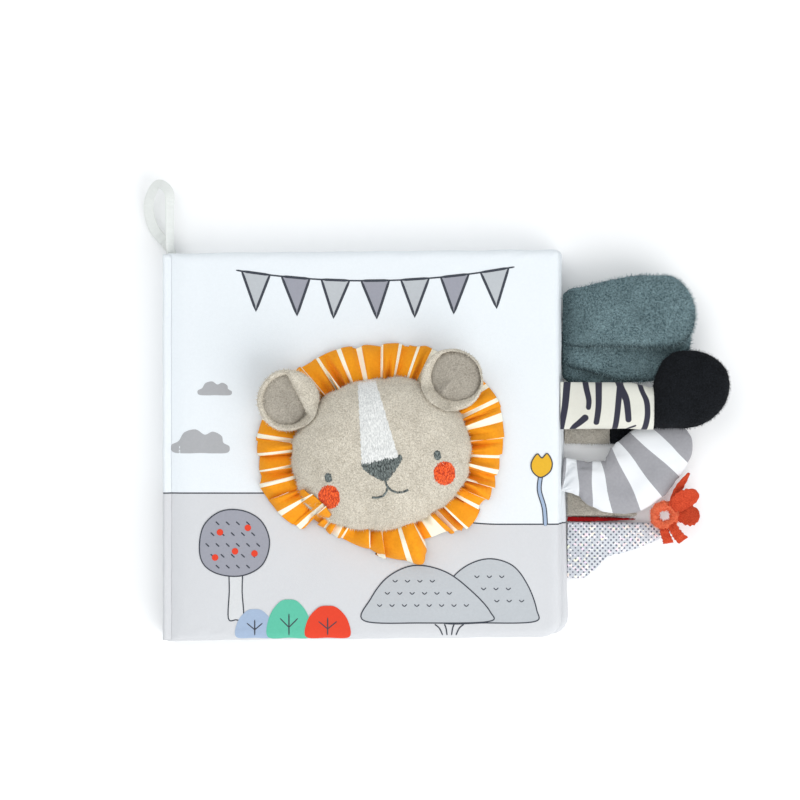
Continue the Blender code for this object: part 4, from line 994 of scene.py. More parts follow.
stripe_outline = [
    Vector((STRIPE_TOP_X - STRIPE_TOP_WIDTH / 2, STRIPE_TOP_Y)),
    Vector((STRIPE_TOP_X + STRIPE_TOP_WIDTH / 2, STRIPE_TOP_Y)),
    Vector((STRIPE_BOTTOM_X + STRIPE_BOTTOM_WIDTH / 2, STRIPE_BOTTOM_Y)),
    Vector((STRIPE_BOTTOM_X - STRIPE_BOTTOM_WIDTH / 2, STRIPE_BOTTOM_Y)),
]
nose_outline = [Vector((NOSE_X + NOSE_WIDTH * x, STRIPE_BOTTOM_Y + NOSE_HEIGHT * y)) for x, y in NOSE_SHARES]
cheek_outlines = {side: oval(sign * CHEEK_SPREAD, CHEEK_Y, CHEEK_RADIUS, CHEEK_RADIUS)
                  for side, sign in (("left", -1), ("right", 1))}
eye_outlines = {side: oval(sign * EYE_SPREAD, EYE_Y, EYE_WIDTH / 2, EYE_HEIGHT / 2)
                for side, sign in (("left", -1), ("right", 1))}
mouth_lines = [
    curve([(-0.2, -10.8), (-0.3, -12.6), (0.2, -14.7)], 8),
    curve([(0.2, -14.7), (-1.1, -17.2), (-3.9, -18.6), (-7.5, -17.9)], 8),
    curve([(0.2, -14.7), (2.2, -17.2), (5.2, -18.3), (8.9, -17.9)], 8),
]


def inside(outline, x, y):
    """Whether a place lies inside an outline."""
    within = False
    for a, b in zip(outline, outline[1:] + outline[:1]):
        if (a.y > y) != (b.y > y) and x < (b.x - a.x) * (y - a.y) / (b.y - a.y) + a.x:
            within = not within
    return within


profile = spline([Vector(share) for share in FACE_PROFILE_SHARES], 3)
face_rows = []
for out, up in profile:
    row = []
    for i in range(HEAD_SEGMENTS):
        edge = face_edge(math.tau * i / HEAD_SEGMENTS)
        place = edge * out
        rim = math.exp(-((1 - out) / 0.10)) * (up > 0.05)
        along = math.tau * i / HEAD_SEGMENTS * HEAD_HALF_WIDTH
        pucker = FACE_RIM_PUCKER * rim * uneven(along / FACE_RIM_LENGTH, 2.0, up)
        lump = FACE_LUMP * noise.noise(Vector((place.x, place.y, 0)) / FACE_LUMP_LENGTH) * min(2 * (1 - out), 1)
        z = face_low.z + FACE_RISE * up * 0.97 + lump
        swell = 1 + pucker / HEAD_HALF_WIDTH
        row.append(head_place @ Vector((place.x * swell, place.y * swell, z)))
    face_rows.append(row)
face_plush = plush_material("face_plush", FACE_DARK, FACE_COLOUR)
face = cloth_piece("lion_face_plush", face_rows, [face_plush], ends="closed")
puffed(face, pinned=range(3 * HEAD_SEGMENTS))
smoothed(face)
roughened(face, FACE_ROUGH, ROUGH_LENGTH)
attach(face, "front_cover")
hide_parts("lion_face", "head_filling", "head_backing")
face_height = surface_under(face)


def pile_strands(piece, count, length, width, materials, body, comb=(0, 0, 0), bare=None, seed=1):
    """Pile on a plush piece: short flat fibres rooted evenly all over it, each leaning its own way."""
    draw = random.Random(seed)
    mesh = piece.data
    areas = []
    total = 0.0
    for face_ in mesh.polygons:
        total += face_.area
        areas.append(total)
    points = []
    faces = []
    shades = []
    combed = Vector(comb)
    step = total / count
    place = step * draw.random()
    for face_, reached in zip(mesh.polygons, areas):
        while place < reached:
            place += step
            corners = [mesh.vertices[k].co for k in face_.vertices]
            a, b = draw.random(), draw.random()
            if len(corners) == 4:
                root = corners[0].lerp(corners[1], a).lerp(corners[3].lerp(corners[2], a), b)
            else:
                if a + b > 1:
                    a, b = 1 - a, 1 - b
                root = corners[0] + (corners[1] - corners[0]) * a + (corners[2] - corners[0]) * b
            if bare and bare(root):
                continue
            normal = face_.normal
            loose = Vector((draw.gauss(0, 1), draw.gauss(0, 1), draw.gauss(0, 1)))
            lean = (normal * 0.9 + combed + loose * 0.42).normalized()
            if lean.dot(normal) < 0.2:
                lean = (lean + normal * 0.5).normalized()
            side = lean.cross(normal if abs(lean.dot(normal)) < 0.98 else loose).normalized() * (width / 2)
            tip = root + lean * length * (0.65 + 0.7 * draw.random())
            tip.z = max(tip.z, 0)
            start = len(points)
            points += [root - side - normal * width, root + side - normal * width, tip]
            faces.append((start, start + 1, start + 2))
            shades.append(draw.randrange(len(materials)))
    fibres = bpy.data.meshes.new(f"{piece.name}_pile")
    fibres.from_pydata(points, [], faces)
    for material in materials:
        fibres.materials.append(material)
    fibres.polygons.foreach_set("material_index", shades)
    fur_piece = linked(f"{piece.name}_pile", fibres)
    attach(fur_piece, body)
    return fur_piece


def fibre_materials(name, dark, light, sheen=0.3):
    """Three shades of the plush's own colour for its fibres."""
    made = []
    for k, share in enumerate((0.25, 0.65, 1.0)):
        colour = tuple(a + (b - a) * share for a, b in zip(dark, light))
        material, tree, shader = cloth_material(f"{name}_fibre_{k + 1}", 0.9, sheen, light)
        place = node(tree, "ShaderNodeTexCoord").outputs["Object"]
        patch = node(tree, "ShaderNodeTexNoise", {"Vector": place, "Scale": 160.0, "Detail": 1.0})
        shaded = tuple(part * 0.86 for part in colour)
        tree.links.new(mixed(tree, patch.outputs[0], shaded, colour), shader.inputs["Base Color"])
        made.append(material)
    return made


from_head = head_place.inverted()


def under_stitches(point):
    """Whether a place on the face bears no pile: at the rim and under the stitches."""
    local = from_head @ point
    if point.z < face_low.z + BARE_RIM:
        return True
    return any(inside(outline, local.x, local.y)
               for outline in (stripe_outline, nose_outline, *cheek_outlines.values(), *eye_outlines.values()))


face_fibres = fibre_materials("face", FACE_DARK, FACE_COLOUR)
pile_strands(face, 15000, FACE_FIBRE_LENGTH, FIBRE_WIDTH, face_fibres, "front_cover",
             comb=(0.10, -0.35, 0), bare=under_stitches)


# Embroidery. Close satin stitches worked through the plush: a white stripe down the brow, a dark nose,
# two eyes and two red cheeks, and a mouth line in split stitches. Each stitch is a thread that dips into
# the pile.
THREAD_PITCH = 0.42 * MM
THREAD_HEIGHT = 0.50 * MM
STITCH_LENGTH = 4.2 * MM
MOUTH_STITCH = 2.2 * MM
MOUTH_WIDTH = 0.95 * MM
STITCH_SINK = 0.10 * MM
STITCH_OVERLAP = 0.7 * MM
STITCH_SHORTEST = 0.3 * MM
STITCH_REST = 0.8 * MM
THREAD_STEP = 0.9 * MM
THREAD_BUMP = 0.25 * MM
SCAN_STEPS = 90
NOSE_STITCH_LENGTH = 9 * MM
STRIPE_RAGGED = 0.15 * MM
EYE_RAGGED = 0.3 * MM
DEFAULT_RAGGED = 0.35 * MM
LOOSE_RAGGED = 0.6 * MM


def thread_material(name, dark, light):
    """Thread with a fine twist, its colour in streaks from a dark tone to light ones that are painted sheen."""
    material, tree, shader = cloth_material(name, 0.55, 0.2)
    place = node(tree, "ShaderNodeTexCoord").outputs["Object"]
    drawn_out = node(tree, "ShaderNodeMapping", {"Vector": place, "Scale": (1.0, 0.45, 1.0)}).outputs[0]
    twist = node(tree, "ShaderNodeTexNoise", {"Vector": drawn_out, "Scale": 2000.0, "Detail": 1.0}).outputs[0]
    painted_sheen = node(tree, "ShaderNodeMapRange", {"Value": twist, "From Min": 0.32, "From Max": 0.68}).outputs[0]
    tree.links.new(mixed(tree, painted_sheen, dark, light), shader.inputs["Base Color"])
    bumped(tree, shader, twist, THREAD_BUMP)
    return material


def add_thread(points, faces, start, end, width, height):
    """One stitch from start to end in the face's frame, half round, its ends down in the pile."""
    along = (end - start).normalized()
    side = Vector((-along.y, along.x))
    first = len(points)
    steps = max(3, math.ceil((end - start).length / THREAD_STEP))
    for k in range(steps + 1):
        share = k / steps
        middle = start.lerp(end, share)
        arch = math.sin(math.pi * min(max(share, 0.08), 0.92)) ** 0.6
        for m in range(5):
            angle = math.pi * m / 4
            flat = middle + side * (width / 2) * math.cos(angle)
            spot = head_place @ Vector((flat.x, flat.y, 0))
            ground = face_height(spot.x, spot.y) or face_low.z
            z = ground - STITCH_SINK + height * arch * (0.35 + 0.65 * math.sin(angle))
            points.append(Vector((spot.x, spot.y, z)))
    for k in range(steps):
        for m in range(4):
            a = first + k * 5 + m
            faces.append((a, a + 1, a + 6, a + 5))


def stitched_piece(name, points, faces, material, nodes):
    """A piece of the face's embroidery."""
    mesh = bpy.data.meshes.new(name)
    mesh.from_pydata(points, [], faces)
    mesh.materials.append(material)
    mesh.shade_smooth()
    piece = linked(name, mesh)
    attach(piece, "front_cover")
    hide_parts(*nodes)
    return piece


def satin(name, outline, turn, material, nodes, seed, ragged=DEFAULT_RAGGED, longest=STITCH_LENGTH):
    """Fills an outline with stitches that run at a turn from the face's own upright."""
    draw = random.Random(seed)
    along = Vector((math.sin(turn), math.cos(turn)))
    across = Vector((along.y, -along.x))
    spread = [point.dot(across) for point in outline]
    reach = [point.dot(along) for point in outline]
    points = []
    faces = []
    column = 0
    offset = min(spread) + THREAD_PITCH / 2
    while offset < max(spread):
        hits = []
        inside_before = False
        for k in range(SCAN_STEPS + 1):
            s = min(reach) + (max(reach) - min(reach)) * k / SCAN_STEPS
            spot = across * offset + along * s
            now = inside(outline, spot.x, spot.y)
            if now != inside_before:
                hits.append(s)
                inside_before = now
        if len(hits) % 2:
            hits.append(max(reach))
        for low, high in zip(hits[::2], hits[1::2]):
            low -= ragged * draw.random()
            high += ragged * draw.random()
            s = low
            length = longest * (0.4 + 0.6 * ((column * 0.37) % 1))
            while s < high - STITCH_SHORTEST:
                stop = min(s + length, high)
                if high - stop < STITCH_REST:
                    stop = high
                shift = across * (offset + 0.12 * THREAD_PITCH * draw.gauss(0, 1))
                add_thread(points, faces, shift + along * (s - STITCH_OVERLAP), shift + along * stop,
                           THREAD_PITCH * 1.3, THREAD_HEIGHT * (0.7 + 0.6 * draw.random()))
                s = stop
                length = longest * (0.85 + 0.3 * draw.random())
        column += 1
        offset += THREAD_PITCH
    return stitched_piece(name, points, faces, material, nodes)


white_thread = thread_material("white_thread", (0.62, 0.63, 0.62), (0.88, 0.88, 0.86))
dark_thread = thread_material("dark_thread", (0.018, 0.024, 0.024), (0.240, 0.275, 0.265))
red_thread = thread_material("red_thread", (0.42, 0.022, 0.006), (1.0, 0.165, 0.035))
satin("brow_stripe_stitches", stripe_outline, math.radians(0), white_thread, ["nose_bridge"],
      3, STRIPE_RAGGED)
satin("nose_stitches", nose_outline, math.radians(4), dark_thread, ["nose"],
      4, LOOSE_RAGGED, NOSE_STITCH_LENGTH)
for side in ("left", "right"):
    satin(f"{side}_cheek_stitches", cheek_outlines[side], math.radians(8), red_thread, [f"{side}_cheek"],
          5, LOOSE_RAGGED)
    satin(f"{side}_eye_stitches", eye_outlines[side], math.radians(0), dark_thread, [f"{side}_eye"],
          6, EYE_RAGGED)
mouth_points = []
mouth_faces = []
for line in mouth_lines:
    since = 0.0
    begin = line[0]
    for a, b in zip(line, line[1:]):
        since += (b - a).length
        if since >= MOUTH_STITCH or b is line[-1]:
            add_thread(mouth_points, mouth_faces, begin, b, MOUTH_WIDTH, THREAD_HEIGHT * 1.3)
            begin = b
            since = 0.0
stitched_piece("mouth_stitches", mouth_points, mouth_faces, dark_thread, [])


# Mane. A long strip of striped cotton, doubled, gathered on its raw edges and caught in the seam round
# the face. Its gathers are tight at the seam and open out to the folded edge; below the face its folds
# are deep and lie over.
MANE_COLUMNS = 1248
MANE_TUCK_SHARE = 0.93
MANE_FOLDS = 31
MANE_GATHERS = 50
MANE_STRIPES = 42
# how far the folded edge lies from the head's middle: the turn in degrees from the book's outer side, and
# mm
MANE_EDGE = (
    (-6, 53.7), (5, 55.4), (18, 57.4), (25, 58.2), (34, 56.7), (48, 54.0), (61, 52.6), (78, 50.5), (88, 49.3),
    (99, 49.5), (110, 50.5), (119, 51.4), (128, 52.0), (135, 53.5), (150, 55.0), (166, 55.9), (173, 56.8),
    (182, 55.4), (197, 56.8), (210, 54.3), (219, 52.2), (223, 48.3), (226, 42.2), (232, 42.9), (243, 43.9),
    (254, 43.7), (261, 42.4), (265, 46.0), (270, 48.4), (278, 49.6), (287, 53.2), (291, 49.6), (297, 45.0),
    (304, 45.9), (312, 49.5), (321, 51.8), (326, 53.1), (332, 51.6), (342, 53.4), (354, 53.7),
)
# how deep the large folds are and how much they lie over, every 15 degrees from the book's outer side
MANE_DEEP_SHARES = (
    0.40, 0.30, 0.36, 0.40, 0.30, 0.50, 0.60, 0.50, 0.35, 0.30, 0.30, 0.40,
    0.55, 0.60, 0.80, 1.05, 1.10, 1.20, 1.25, 1.20, 1.05, 0.95, 0.80, 0.60, 0.40,
)
MANE_LAP = 8.6 * MM
MANE_ROOM = 13.0 * MM
MANE_FOLD_HIGH = 8.0 * MM
MANE_GATHER_HIGH = 11.5 * MM
MANE_BODY_HIGH = 5.4 * MM
MANE_SWAY = 1.2 * MM
MANE_DRAW_IN = 2.4 * MM
MANE_EDGE_WANDER = 0.7 * MM
MANE_CRUMPLE = 0.9 * MM
MANE_CRUMPLE_LENGTH = 4.5 * MM
MANE_CLOTH_ABOVE = 1.0 * MM
MANE_CLOTH_BELOW = 0.15 * MM
MANE_UNDERFOLD = 0.9 * MM
MANE_WEAVE_DEPTH = 0.06 * MM
# one fold below the left cheek was caught in the seam so that it lies over the face
OVERLAP_TURN = 219.0
OVERLAP_SPREAD = 11.0
OVERLAP_REACH = 5.4 * MM
MANE_ORANGE = (0.960, 0.385, 0.016)
MANE_ORANGE_DARK = (0.800, 0.265, 0.008)
MANE_CREAM = (0.98, 0.93, 0.76)
WIDE_STRIPE_SHARE = 0.185
NARROW_STRIPE_SHARE = 0.088
MANE_OUT_SHARES = (
    0.0, 0.03, 0.065, 0.10, 0.14, 0.185, 0.235, 0.29, 0.35, 0.42,
    0.50, 0.59, 0.68, 0.77, 0.85, 0.91, 0.955, 0.985, 1.0,
)

mane_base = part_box("mane_ruffle")[0].z


def mane_reach(turn):
    """How far the folded edge reaches at a turn in degrees."""
    for (before, near), (after, far) in zip(MANE_EDGE, MANE_EDGE[1:]):
        if turn <= after:
            return (near + (far - near) * eased((turn - before) / (after - before))) * MM
    return MANE_EDGE[-1][1] * MM


def mane_point(i, v, over):
    """A point of the mane: i counts columns, v runs from seam to folded edge, over is 1 on the upper side."""
    share = i / MANE_COLUMNS
    angle = math.tau * share
    circle = Vector((math.cos(angle), math.sin(angle), 0))
    start = face_edge(angle) * MANE_TUCK_SHARE
    out = start.normalized()
    side = Vector((-out.y, out.x, 0))
    turn = math.degrees(math.atan2(start.y, start.x) + HEAD_TILT) % 360
    deep = at_share(MANE_DEEP_SHARES, turn / 360)
    phase = math.pi * (MANE_FOLDS * share + 1.5 * noise.noise(circle * 2.4 + Vector((0, 0, 4))))
    small = math.pi * (MANE_GATHERS * share + 1.9 * noise.noise(circle * 4.0 + Vector((0, 0, 8))))
    ridge = abs(math.sin(phase)) ** 0.9
    gather = abs(math.sin(small)) ** 0.6
    tight = max(0.42 + 1.5 * noise.noise(circle * 6.0 + Vector((0, 0, 3))), 0.15)
    near = math.exp(-((v / (0.28 + 0.40 * tight)) ** 1.5))
    room = min(max(mane_reach(turn) - start.length, 0) / MANE_ROOM, 1)
    lap = deep * (0.45 + 0.55 * v) * (0.25 + 0.75 * room)
    lean = math.tanh(5 * noise.noise(circle * 1.9 + Vector((0, 0, 6))))
    sway = MANE_LAP * lap * lean * (ridge - 0.5) + MANE_SWAY * tight * near * math.sin(2 * small)
    reach = mane_reach(turn) - MANE_DRAW_IN * deep * (1 - ridge) * (deep > 0.5) * room
    end = out * (reach + MANE_EDGE_WANDER * noise.noise(circle * 9.0))
    place = start.lerp(end, v) + side * sway
    puff = math.sin(math.pi * v ** 0.85) ** 0.55 if 0 < v < 1 else 0
    body = MANE_BODY_HIGH * (0.25 + 0.75 * puff) * (1 - v ** 9)
    crumple = MANE_CRUMPLE * noise.noise(Vector((place.x, place.y, 0)) / MANE_CRUMPLE_LENGTH) * (1 - v ** 5)
    if over:
        z = mane_base + MANE_CLOTH_ABOVE + body + MANE_FOLD_HIGH * lap * (ridge - 0.5) * (1 - v ** 12)
        z += MANE_GATHER_HIGH * tight * near * (gather - 0.55) + crumple
    else:
        z = mane_base + MANE_CLOTH_BELOW + MANE_UNDERFOLD * ridge * lap
    z = max(z, mane_base + (0.9 if over else 0.1) * MM)
    caught = (math.exp(-(((turn - OVERLAP_TURN) / OVERLAP_SPREAD) ** 4)) * (1 - v) ** 0.8
              * min(v / 0.065, 1) * over)
    if caught > 0.02:
        place -= out * OVERLAP_REACH * caught
        spot = head_place @ place
        ground = face_height(spot.x, spot.y)
        if ground is not None:
            z += max(ground + (0.6 + 2.4 * ridge) * MM - z, 0) * min(2.5 * caught, 1)
    return head_place @ Vector((place.x, place.y, z))


mane_rows = []
mane_places = []
for over, v in [(0, v) for v in MANE_OUT_SHARES[:-1:3]] + [(1, v) for v in reversed(MANE_OUT_SHARES)]:
    mane_rows.append([mane_point(i, v, over) for i in range(MANE_COLUMNS)])
    mane_places.append([(MANE_STRIPES * i / MANE_COLUMNS, v) for i in range(MANE_COLUMNS + 1)])
mane_material, mane_tree, mane_shader = cloth_material("mane_cotton", 0.85, 0.05)
mane_place = node(mane_tree, "ShaderNodeTexCoord")
mane_axes = node(mane_tree, "ShaderNodeSeparateXYZ", {0: mane_place.outputs["UV"]}).outputs
third = maths(mane_tree, "MODULO", mane_axes[0], 3.0)
bands = []
for middle, half_share in ((0.5, WIDE_STRIPE_SHARE), (1.5, NARROW_STRIPE_SHARE), (2.5, NARROW_STRIPE_SHARE)):
    away = maths(mane_tree, "ABSOLUTE", maths(mane_tree, "SUBTRACT", third, middle))
    bands.append(maths(mane_tree, "LESS_THAN", away, half_share))
cream_share = maths(mane_tree, "MAXIMUM", bands[0], maths(mane_tree, "MAXIMUM", bands[1], bands[2]))
mane_weave = group_node(mane_tree, weave, {"Place": mane_place.outputs["Object"], "Pitch": PRINT_PITCH})
orange = mixed(mane_tree, mane_weave["Shade"], MANE_ORANGE_DARK, MANE_ORANGE)
mane_tree.links.new(mixed(mane_tree, cream_share, orange, MANE_CREAM), mane_shader.inputs["Base Color"])
bumped(mane_tree, mane_shader, mane_weave["Height"], MANE_WEAVE_DEPTH)
mane = cloth_piece("mane_strip", mane_rows, [mane_material], ends="open", places=mane_places)
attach(mane, "front_cover")
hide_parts("mane_ruffle")


# Ears. Each is a round cup of beige plush with a darker lining, sewn in over the mane, so that its inner
# rim lies on the face. The left one is pleated at its root, so that its side next to the face folds over
# into the cup.
EAR_RADIUS = 13.9 * MM
EAR_TILT = math.radians(9)
EAR_SEGMENTS = 96
EAR_LEVEL = 14.2 * MM
EAR_WOBBLE = 0.5 * MM
EAR_SOFT_MEET = 2.0 * MM
EAR_SINK = 0.3 * MM
EAR_WALL = 0.3 * MM
CUP_WALL = 0.9 * MM
EAR_ROUGH = 0.25 * MM
EAR_FIBRE_LENGTH = 1.05 * MM
CUP_FIBRE_LENGTH = 0.9 * MM
# where each ear sits on the head, how far its cup lies off its middle, whether its side is folded over,
# and where its noise starts
EARS = (
    ("right", Vector((31.8, 33.0)) * MM, Vector((2.2, 2.0)) * MM, False, 61),
    ("left", Vector((-41.2, 24.0)) * MM, Vector((-1.8, 0.4)) * MM, True, 67),
)
FOLD_TURN = math.radians(27)
FOLD_LINE_SHARE = 0.32
# an ear's section from the middle of its back, round the rim and into the cup: how far out as a share of
# the radius, how high in mm, how far over to the fold's straight edge as a share, and how much higher in
# mm it lies there
EAR_SECTION = (
    (0.05, -4.4, 0.0, 0.0), (0.45, -4.2, 0.0, 0.0), (0.75, -3.2, 0.0, 0.0), (0.93, -1.4, 0.0, 0.3),
    (1.0, 0.6, 0.0, 0.8), (0.99, 1.8, 0.08, 1.8), (0.955, 2.7, 0.34, 2.3), (0.91, 2.8, 0.66, 2.0),
    (0.87, 2.3, 0.90, 1.7), (0.83, 1.5, 1.0, 1.3), (0.79, 0.5, 0.98, 0.9), (0.76, -0.6, 0.80, 0.6),
    (0.74, -1.6, 0.30, 0.2),
)
CUP_SECTION = (
    (0.85, 1.7, 0, 0), (0.79, -0.2, 0, 0), (0.70, -2.1, 0, 0), (0.58, -2.9, 0, 0), (0.40, -3.4, 0, 0),
    (0.20, -3.6, 0, 0), (0.03, -3.7, 0, 0),
)
EAR_LINING_LIGHT = (0.540, 0.494, 0.420)
EAR_LINING_DARK = (0.300, 0.268, 0.222)

ear_plush = plush_material("ear_plush", FACE_DARK, FACE_COLOUR)
lining_plush = plush_material("lining_plush", EAR_LINING_DARK, EAR_LINING_LIGHT)
lining_fibres = fibre_materials("lining", EAR_LINING_DARK, EAR_LINING_LIGHT)


def ear_surface(name, section, matrix, off_middle, folded, wall, material, seed):
    """An ear or its cup from its section, lifted clear of the face."""
    rows = []
    for out, up, over_share, over_up in section:
        inner = eased((0.95 - out) / 0.15)
        row = []
        for i in range(EAR_SEGMENTS):
            angle = math.tau * i / EAR_SEGMENTS
            circle = Vector((math.cos(angle), math.sin(angle)))
            facing = math.cos(angle - FOLD_TURN)
            wobble = EAR_WOBBLE * uneven(2 * circle.x, 2 * circle.y, seed + 0.4 * up)
            radius = EAR_RADIUS * out + wobble
            high = up * MM + wobble
            if folded and facing > FOLD_LINE_SHARE:
                line = EAR_RADIUS * FOLD_LINE_SHARE / facing
                moved = over_share * eased((facing - FOLD_LINE_SHARE) / 0.12)
                radius += (line - radius) * moved
                high += over_up * MM * eased((facing - FOLD_LINE_SHARE) / 0.30)
            flat = circle * radius + off_middle * inner * (0 if folded and over_share > 0.25 else 1)
            place = matrix @ Vector((flat.x, flat.y, high))
            ground = face_height(place.x, place.y)
            if ground is not None:
                gap = ground + wall + max(up + 4.4, 0) * 0.30 * MM - place.z
                place.z += max((gap + math.sqrt(gap * gap + EAR_SOFT_MEET ** 2)) / 2 - EAR_SINK, gap, 0)
            row.append(place)
        rows.append(row)
    return cloth_piece(name, rows, [material], ends="closed")


for side, ear_middle, off_middle, folded, seed in EARS:
    out_turn = math.atan2(ear_middle.y, ear_middle.x)
    turn = Matrix.Rotation(-EAR_TILT, 4, Matrix.Rotation(out_turn, 3, "Z") @ Vector((0, 1, 0)))
    middle = Vector((HEAD_MIDDLE.x + ear_middle.x, HEAD_MIDDLE.y + ear_middle.y, COVER_TOP + EAR_LEVEL))
    matrix = Matrix.Translation(middle) @ turn
    ear = ear_surface(f"{side}_ear_plush", EAR_SECTION, matrix, off_middle, folded, EAR_WALL, ear_plush, seed)
    lining = ear_surface(f"{side}_ear_cup", CUP_SECTION, matrix, off_middle, False, CUP_WALL, lining_plush,
                         seed + 3)
    for piece, node_name, slot in (
        (ear, f"{side}_ear", "beige_plush"), (lining, f"{side}_ear_lining", "beige_plush_dark"),
    ):
        smoothed(piece)
        roughened(piece, EAR_ROUGH, ROUGH_LENGTH)
        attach(piece, "front_cover")
        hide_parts(node_name)
    pile_strands(ear, 3200, EAR_FIBRE_LENGTH, FIBRE_WIDTH, face_fibres, "front_cover", seed=seed)
    pile_strands(lining, 1300, CUP_FIBRE_LENGTH, FIBRE_WIDTH, lining_fibres, "front_cover", seed=seed + 1)


# Uppermost tail. A cream sleeve printed with dark bars, stuffed, sewn into the cover's edge, and a black
# plush tip sewn to its end.
TAIL_SEGMENTS = 96
SLEEVE_ROWS = 92
TIP_ALONG_SHARES = (0.0, 0.05, 0.12, 0.25, 0.38, 0.52, 0.66, 0.79, 0.89, 0.96, 1.0)
TIP_LEAN_SHARES = (0.0, 0.30, 0.54, 0.74, 0.80, 0.84, 0.88, 0.92, 0.96, 0.99, 1.0)
TIP_WIDTH_SHARES = (0.60, 0.73, 0.87, 0.97, 1.0, 0.98, 0.91, 0.77, 0.59, 0.38, 0.06)
TIP_HEIGHT_SHARES = (0.56, 0.70, 0.85, 0.97, 1.0, 0.98, 0.91, 0.77, 0.60, 0.40, 0.06)
SLEEVE_START_HEIGHT = 2.2 * MM
SLEEVE_HEIGHT = 9.6 * MM
TIP_LEAN = 9.0 * MM
TIP_LIFT = 3.2 * MM
TIP_WIDTH = 35.2 * MM
TIP_HEIGHT = 17.2 * MM
SLEEVE_CREAM = (0.740, 0.735, 0.660)
SLEEVE_DARK = (0.036, 0.036, 0.056)
# the printed bars, in mm along the sleeve and up across it from its middle line, with their widths at
# both ends
SLEEVE_BARS = (
    ((3.6, 15.0), (3.0, 9.7), (2.0, -0.5), (0.5, -9.3), (-0.4, -15.0), 3.5, 2.5),
    ((11.0, 15.0), (11.4, 8.6), (12.5, 2.6), (12.3, -0.9), 2.8, 2.2),
    ((4.4, -13.0), (5.9, -10.1), (8.5, -7.8), (10.9, -5.6), 2.2, 3.1),
    ((17.2, 15.0), (16.9, 8.0), (16.7, -0.5), (15.9, -7.8), 3.1, 2.5),
    ((27.2, 15.0), (26.2, 8.0), (25.1, -2.6), (24.2, -11.1), (23.8, -15.0), 2.8, 2.4),
    ((26.0, 12.0), (26.8, 8.0), (29.0, 2.6), (30.0, -6.4), 3.4, 2.7),
    ((29.4, -13.0), (30.6, -11.0), (33.2, -9.4), 1.6, 0.9),
    ((35.0, 15.0), (35.8, 8.8), (37.9, 2.6), (38.4, -3.6), (37.7, -9.3), (36.4, -15.0), 2.5, 2.6),
)
UNDERSIDE_SHIFT = 4.5 * MM
SLEEVE_FOLD = 0.55 * MM
SLEEVE_TUCK = 0.45 * MM
SLEEVE_GATHER = 2.6 * MM
SLEEVE_LUMP = 0.8 * MM
TAIL_PITCH = 0.5 * MM
TAIL_WEAVE_DEPTH = 0.05 * MM
BAR_SOFT = 0.10 * MM
TIP_SEGMENTS = 64
TIP_LUMP = 2.0 * MM
TIP_PUFF = 0.8 * MM
PLUSH_ROUGH = 0.3 * MM
TAIL_FIBRE_LENGTH = 1.2 * MM


def oval_section(middle, across, half_width, half_height, count=TAIL_SEGMENTS, square=1.0):
    """A ring round a tail: an oval that stands across its line."""
    ring = []
    for k in range(count):
        angle = math.tau * k / count
        wide = math.copysign(abs(math.cos(angle)) ** square, math.cos(angle))
        high = math.copysign(abs(math.sin(angle)) ** square, math.sin(angle))
        ring.append(middle + across * half_width * wide + Vector((0, 0, half_height * high)))
    return ring


def distance_to(line, place):
    """The distance from a place to a chain of points, and how far along the chain that is."""
    best = (1.0, 0.0)
    for k, (a, b) in enumerate(zip(line, line[1:])):
        span = b - a
        share = min(max((place - a).dot(span) / span.length_squared, 0), 1)
        away = (place - a.lerp(b, share)).length
        if away < best[0]:
            best = (away, (k + share) / (len(line) - 1))
    return best


def marked(piece, name, values):
    """Keeps a number at each point of a piece for its material, such as the distance to a printed shape."""
    layer = piece.data.attributes.new(name, "FLOAT", "POINT")
    layer.data.foreach_set("value", values)


bars = []
for *points, start_width, end_width in SLEEVE_BARS:
    bars.append((spline([Vector(point) * MM for point in points], 5), start_width / 2 * MM, end_width / 2 * MM))


def off_the_bars(place):
    """How far a place on the flat sleeve lies outside the nearest bar; below zero inside one."""
    return min(
        away - (start + (end - start) * share)
        for away, share, start, end in ((*distance_to(line, place), start, end) for line, start, end in bars)
    )


